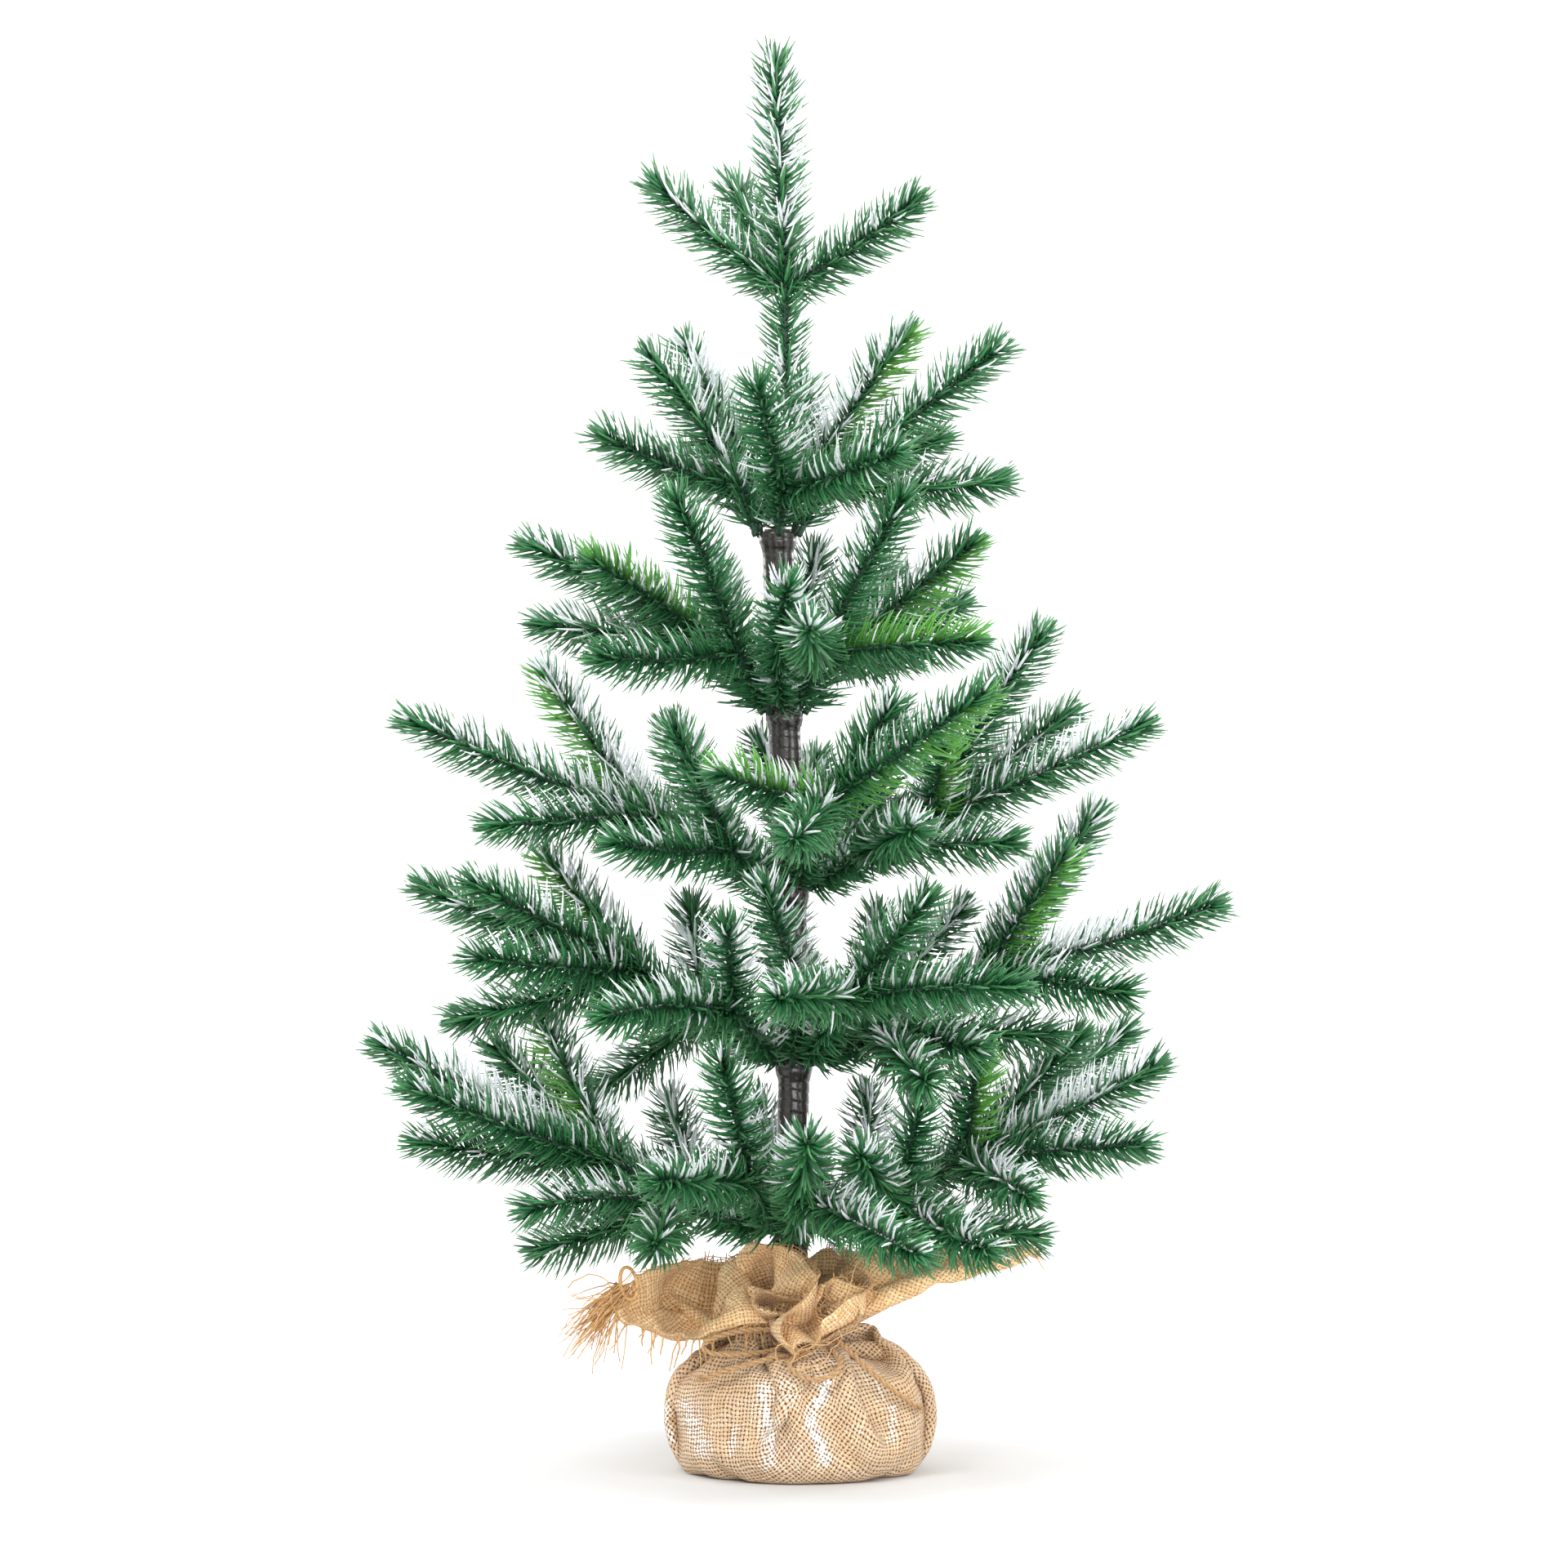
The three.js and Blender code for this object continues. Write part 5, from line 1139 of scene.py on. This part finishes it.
def hang_burlap():
    n, steps = ((91, 170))
    x, X0, rho, phi, h = cloth_sim(n, steps)
    G = relax_grid(x.reshape(n, n, 3), 1)
    F = X0.reshape(n, n, 2)
    g = np.linspace(-CLOTH_SIDE / 2, CLOTH_SIDE / 2, n)
    UV = np.stack(np.meshgrid(g, g, indexing="ij"), -1)
    G, F, UV = finer(G), finer(F), finer(UV)
    m = len(G)
    nrm = unit(np.cross(np.gradient(G, axis=0), np.gradient(G, axis=1)))
    for _ in range(2):
        P = np.pad(nrm, ((1, 1), (1, 1), (0, 0)), mode="edge")
        nrm = unit(nrm + 0.5 * (P[:-2, 1:-1] + P[2:, 1:-1] + P[1:-1, :-2] + P[1:-1, 2:]))
    half = 0.45
    outer, inner = G - nrm * half, G + nrm * half
    outer[..., 2] = np.maximum(outer[..., 2], 0.0)
    inner[..., 2] = np.maximum(inner[..., 2], 0.7)
    idx = np.arange(m * m).reshape(m, m)
    q = np.stack([idx[:-1, :-1], idx[:-1, 1:], idx[1:, 1:], idx[1:, :-1]], -1).reshape(-1, 4)
    Ff = F.reshape(-1, 2)
    q = q[((Ff[q, 0] > UNRAVELLED) & (Ff[q, 1] > CUT_FRONT)).all(1)]
    e = np.concatenate([q[:, [0, 1]], q[:, [1, 2]], q[:, [2, 3]], q[:, [3, 0]]])
    key = np.sort(e, 1) @ np.array([m * m, 1])
    _, first, count = np.unique(key, return_index=True, return_counts=True)
    e = e[first[count == 1]]
    rim = np.stack([e[:, 1], e[:, 0], e[:, 0] + m * m, e[:, 1] + m * m], -1)
    hem_points = np.unique(e)
    V = np.vstack([outer.reshape(-1, 3), inner.reshape(-1, 3)])
    # paint on the side that faces the front
    def paint_of(P, N, side):
        px, py = picture(P)
        out = np.zeros(px.shape)
        for pts, w, k in PAINT:
            out = np.maximum(out, k * np.exp(-((near_line(px, py, pts) / w) ** 2)))
        facing = smoothstep(-0.1, 0.25, -side * N[..., 1])
        fr = np.hypot(F[..., 0], F[..., 1])
        return out * facing * (P[..., 1] < 4) * np.where(P[..., 2] > 62, 1.0, fr < 150)
    po, pi = paint_of(outer, nrm, -1), paint_of(inner, nrm, 1)
    rr = np.hypot(F[..., 0], F[..., 1])
    outer_neck_shade = smoothstep(160, 136, rr) * smoothstep(118, 136, rr)
    fo = np.concatenate([UV, np.zeros((m, m, 1))], -1).reshape(-1, 3)
    fi = fo + np.array([0, 0, 40.0])
    look = np.zeros((2, m, m, 4))
    look[0, ..., 0], look[1, ..., 0] = po, pi
    # painted shade in the gathers near the neck, stronger on the inner side of the cloth
    look[0, ..., 1] = 0.20 * outer_neck_shade
    look[1, ..., 1] = 0.55 * smoothstep(158, 140, rr) * smoothstep(118, 134, rr)
    # 1 on the sack, 0 on the collar: sets the sack's dust, and the collar's painted light and fainter gaps
    look[0, ..., 2] = look[1, ..., 2] = smoothstep(176, 128, rr)
    mat = burlap_material()
    ob = mesh_object("burlap_cloth", V, [np.vstack([q, q[:, ::-1] + m * m, rim])], smooth=True,
                     attrs={"look": look.reshape(-1, 4), "flat": np.vstack([fo, fi])}, mats=[mat])
    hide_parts("burlap_wrap")
    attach(ob, "stand")

    # frayed hem: the ends of the threads, and a few that have come loose along it
    rng = np.random.default_rng(11)
    B = Build()
    AF = []

    def strand(p, r, sides=3):
        p[:, 2] = np.maximum(p[:, 2], 1.0)
        rad = r * np.linspace(1.0, 0.55, len(p))
        v, qq, t = tube_mesh(p, rad, sides)
        B.add(v, qq, t)
        AF.append(v + rng.uniform(-60, 60, 3))

    left, right = np.array([-CLOTH_SIDE / math.sqrt(2), 0]), np.array([CLOTH_SIDE / math.sqrt(2), 0])
    sides = [(G[0], G[3], F[0]), (G[-1], G[-4], F[-1]), (G[:, 0], G[:, 3], F[:, 0]), (G[:, -1], G[:, -4], F[:, -1])]
    for E, I, FE in sides:
        k = int(CLOTH_SIDE / WEAVE)
        s = np.linspace(0, m - 1, k)
        base = np.stack([np.interp(s, np.arange(m), E[:, c]) for c in range(3)], 1)
        back = np.stack([np.interp(s, np.arange(m), I[:, c]) for c in range(3)], 1)
        fl = np.stack([np.interp(s, np.arange(m), FE[:, c]) for c in range(2)], 1)
        d = unit(base - back)
        along = unit(np.gradient(base, axis=0))
        low = (fl[:, 0] < 0) & (fl[:, 1] > 0)
        to_left = np.linalg.norm(fl - left, axis=1)
        to_right = np.linalg.norm(fl - right, axis=1)
        for i in range(k):
            long_end = low[i] and to_left[i] < 120
            L = rng.uniform(1.6, 5.0)
            if long_end:
                L = rng.uniform(7.0, 17.0) * (1 - to_left[i] / 300)
            elif to_left[i] < 34:
                L = rng.uniform(5, 9)
            elif to_right[i] < 24:
                L = rng.uniform(3, 9)
            if rng.random() < (0.45 if long_end else 0.04) or fl[i, 0] < UNRAVELLED or fl[i, 1] < CUT_FRONT:
                continue
            t = np.linspace(0, 1, 5 if L > 6 else 3)[:, None]
            droop = (0.16 if L > 8 else 0.10) * L
            curl = rng.normal(0, 0.09, 3) * L
            if long_end:
                d[i] = unit(d[i] * 0.35 + np.array([-0.20 + 0.002 * to_left[i], -0.12, -0.85]) + rng.normal(0, 0.14, 3))
            elif to_left[i] < 34:
                d[i] = unit(d[i] + np.array([-0.4, -0.1, -0.2]) + rng.normal(0, 0.12, 3))
            p = back[i] * 0.12 + base[i] * 0.88 + d[i] * L * t + np.array([0, 0, -1.0]) * droop * t**2 + curl * t**2 + along[i] * rng.normal(0, 0.10) * L * t
            if L > 6:
                p[1:-1] += rng.normal(0, 0.035 * L, (len(p) - 2, 3))
            thick = rng.uniform(0.30, 0.46)
            if long_end:
                # the long ends hang in small bunches
                j = min(k - 1, (i // 4) * 4 + 2)
                p = p + (base[j] - base[i]) * 0.75 * t**1.5
                thick = rng.uniform(0.48, 0.68)
            strand(p, thick)
        for o in (0.7, 1.9):
            i0 = 0
            while i0 < k - 8:
                ln = int(rng.integers(10, 46))
                sel = slice(i0, min(k, i0 + ln))
                p = base[sel] + d[sel] * (o + rng.normal(0, 0.35, (len(base[sel]), 1))) + rng.normal(0, 0.22, (len(base[sel]), 3))
                if len(p) > 3 and (o < 1 or rng.random() < 0.35):
                    strand(p[::2].copy(), 0.34)
                i0 += ln + int(rng.integers(2, 7))
    # the threads of the unravelled corner, and the short ends along the cut front corner
    for i in hem_points:
        a, b = divmod(int(i), m)
        if min(a, b, m - 1 - a, m - 1 - b) < 1:
            continue
        b0, f0 = G[a, b], F[a, b]
        if f0[0] < UNRAVELLED + 4:
            inward = G.reshape(-1, 3)[np.argmin(np.abs(F - (f0 + np.array([9.0, 0.0]))).sum(-1))]
            for _ in range(3):
                L = rng.uniform(14, 29)
                dd = unit(unit(b0 - inward) * 0.45 + np.array([-0.34, -0.10, -0.62]) + rng.normal(0, 0.22, 3))
                t = np.linspace(0, 1, 7)[:, None]
                p = b0 + dd * (L * t - 1.5) + np.array([0, 0, -1.0]) * 0.22 * L * t**2 + rng.normal(0, 0.10, 3) * L * t**2
                p[1:-1] += rng.normal(0, 0.35, (5, 3))
                p[:, 0] = np.maximum(p[:, 0], -96 + rng.uniform(0, 3))
                strand(p, rng.uniform(0.32, 0.46))
        elif f0[1] < CUT_FRONT + 4:
            inward = G.reshape(-1, 3)[np.argmin(np.abs(F - (f0 + np.array([0.0, 5.0]))).sum(-1))]
            out = unit(b0 - inward)
            L = rng.uniform(1.2, 3.8)
            strand(b0 + (out + rng.normal(0, 0.12, 3)) * L * np.array([[-0.2], [0.5], [1.0]]), rng.uniform(0.26, 0.40))
    # the loop of doubled hem at the upper left
    hem = np.vstack([G[0], G[:, 0], G[-1], G[:, -1]])
    c0 = hem[np.argmin(np.linalg.norm(hem - np.array([-60.0, -18.0, 83.0]), axis=1))] + np.array([-2.2, -0.6, -3.6])
    a = np.linspace(-0.3, 2 * np.pi - 0.5, 22)
    p = c0 + np.stack([3.4 * np.cos(a) - 1.0 * np.sin(a), 1.6 * np.sin(a * 1.3), 6.6 * np.sin(a)], 1)
    v, qq, t = tube_mesh(resample(catmull(p, 4), step=0.8), 0.85, 6)
    B.add(v, qq, t)
    AF.append(v)
    # fibres that stand out of the cloth
    face = rng.integers(0, (m - 1) * (m - 1), 1500)
    gi, gj = face // (m - 1), face % (m - 1)
    for i, j in zip(gi, gj):
        P0, N0 = outer[i, j], -nrm[i, j]
        if P0[2] < 3 or np.hypot(*F[i, j]) < 62:
            continue
        tangent = unit(rng.normal(0, 1, 3))
        tangent = unit(tangent - N0 * (tangent @ N0))
        L = rng.uniform(1.5, 4.5)
        p = np.array([P0, P0 + N0 * 0.45 + tangent * L * 0.5, P0 + N0 * rng.uniform(0.3, 1.1) + tangent * L + rng.normal(0, 0.4, 3)])
        strand(p, rng.uniform(0.06, 0.10))
    fr = B.make("burlap_fringe", [burlap_material(True)])
    at = fr.data.attributes.new("flat", "FLOAT_COLOR", "POINT")
    f4 = np.ones((len(fr.data.vertices), 4), np.float32)
    f4[:, :3] = np.vstack(AF)
    at.data.foreach_set("color", f4.ravel())
    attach(fr, "stand")


hang_burlap()

# ---------------------------------------------------------------- floor, light
def stage():
    m = Nodes("floor_white")
    tone = m.math("MULTIPLY_ADD", m.noise(3, 2), 0.03, c=0.0)
    tone = m.math("ADD", tone, m.attr("look").outputs["Fac"])
    grey = m.node("CombineColor")
    for i in range(3):
        m.link(tone, grey.inputs[i])
    m.link(grey.outputs[0], m.bsdf.inputs["Base Color"])
    m.bsdf.inputs["Roughness"].default_value = 0.75
    # a floor that sweeps up behind, painted a little greyer close to the tree than far from it as shade
    n = 24
    ys = np.concatenate([-np.geomspace(8000, 160, 22), np.linspace(0, 1200, 9), 1200 + 900 * np.sin(np.linspace(0, np.pi / 2, n)[1:]), [2100]])
    zs = np.concatenate([np.zeros(31), 900 * (1 - np.cos(np.linspace(0, np.pi / 2, n)[1:])), [4200]])
    xs = np.concatenate([-np.geomspace(8000, 120, 20), [0], np.geomspace(120, 8000, 20)])
    v = np.array([(x, y, z - 0.05) for y, z in zip(ys, zs) for x in xs])
    k = len(xs)
    a = (np.arange(len(ys) - 1)[:, None] * k + np.arange(k - 1)).ravel()
    q = np.stack([a, a + 1, a + k + 1, a + k], -1)
    look = np.repeat(0.60 + 0.26 * smoothstep(350, 1500, np.hypot(v[:, 0], v[:, 1]))[:, None], 4, axis=1)
    ob = mesh_object("floor_sweep", v, [q], attrs={"look": look}, mats=[m.mat])
    ob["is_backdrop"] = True


stage()


def area(name, loc, target, size, power, color=(1, 1, 1)):
    l = bpy.data.lights.new(name, "AREA")
    l.shape = "RECTANGLE"
    l.size, l.size_y = size
    l.energy = power
    l.color = color
    o = bpy.data.objects.new(name, l)
    scene.collection.objects.link(o)
    o.location = loc
    o.rotation_euler = (Vector(target) - Vector(loc)).to_track_quat("-Z", "Y").to_euler()
    return o


area("key", (-0.9, -1.5, 1.5), (0, 0, 0.3), (0.9, 0.9), 31)
area("fill", (1.3, -1.2, 0.8), (0, 0, 0.3), (1.0, 1.2), 19)
area("front_low", (0.25, -1.7, 0.22), (0, 0, 0.1), (0.9, 0.4), 7)
area("top", (0.1, 0.1, 1.7), (0, 0, 0.2), (1.2, 1.2), 16)
area("back_left", (-1.2, 1.0, 0.9), (0, 0, 0.3), (0.8, 1.0), 14)
area("back_right", (1.2, 1.0, 0.9), (0, 0, 0.3), (0.8, 1.0), 14)
w = bpy.data.worlds.new("white_room")
scene.world = w
w.use_nodes = True
w.node_tree.nodes["Background"].inputs[0].default_value = (1, 1, 1, 1)
w.node_tree.nodes["Background"].inputs[1].default_value = 0.9
scene.view_settings.view_transform = "Standard"

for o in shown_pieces():
    assert body_of(o), o.name
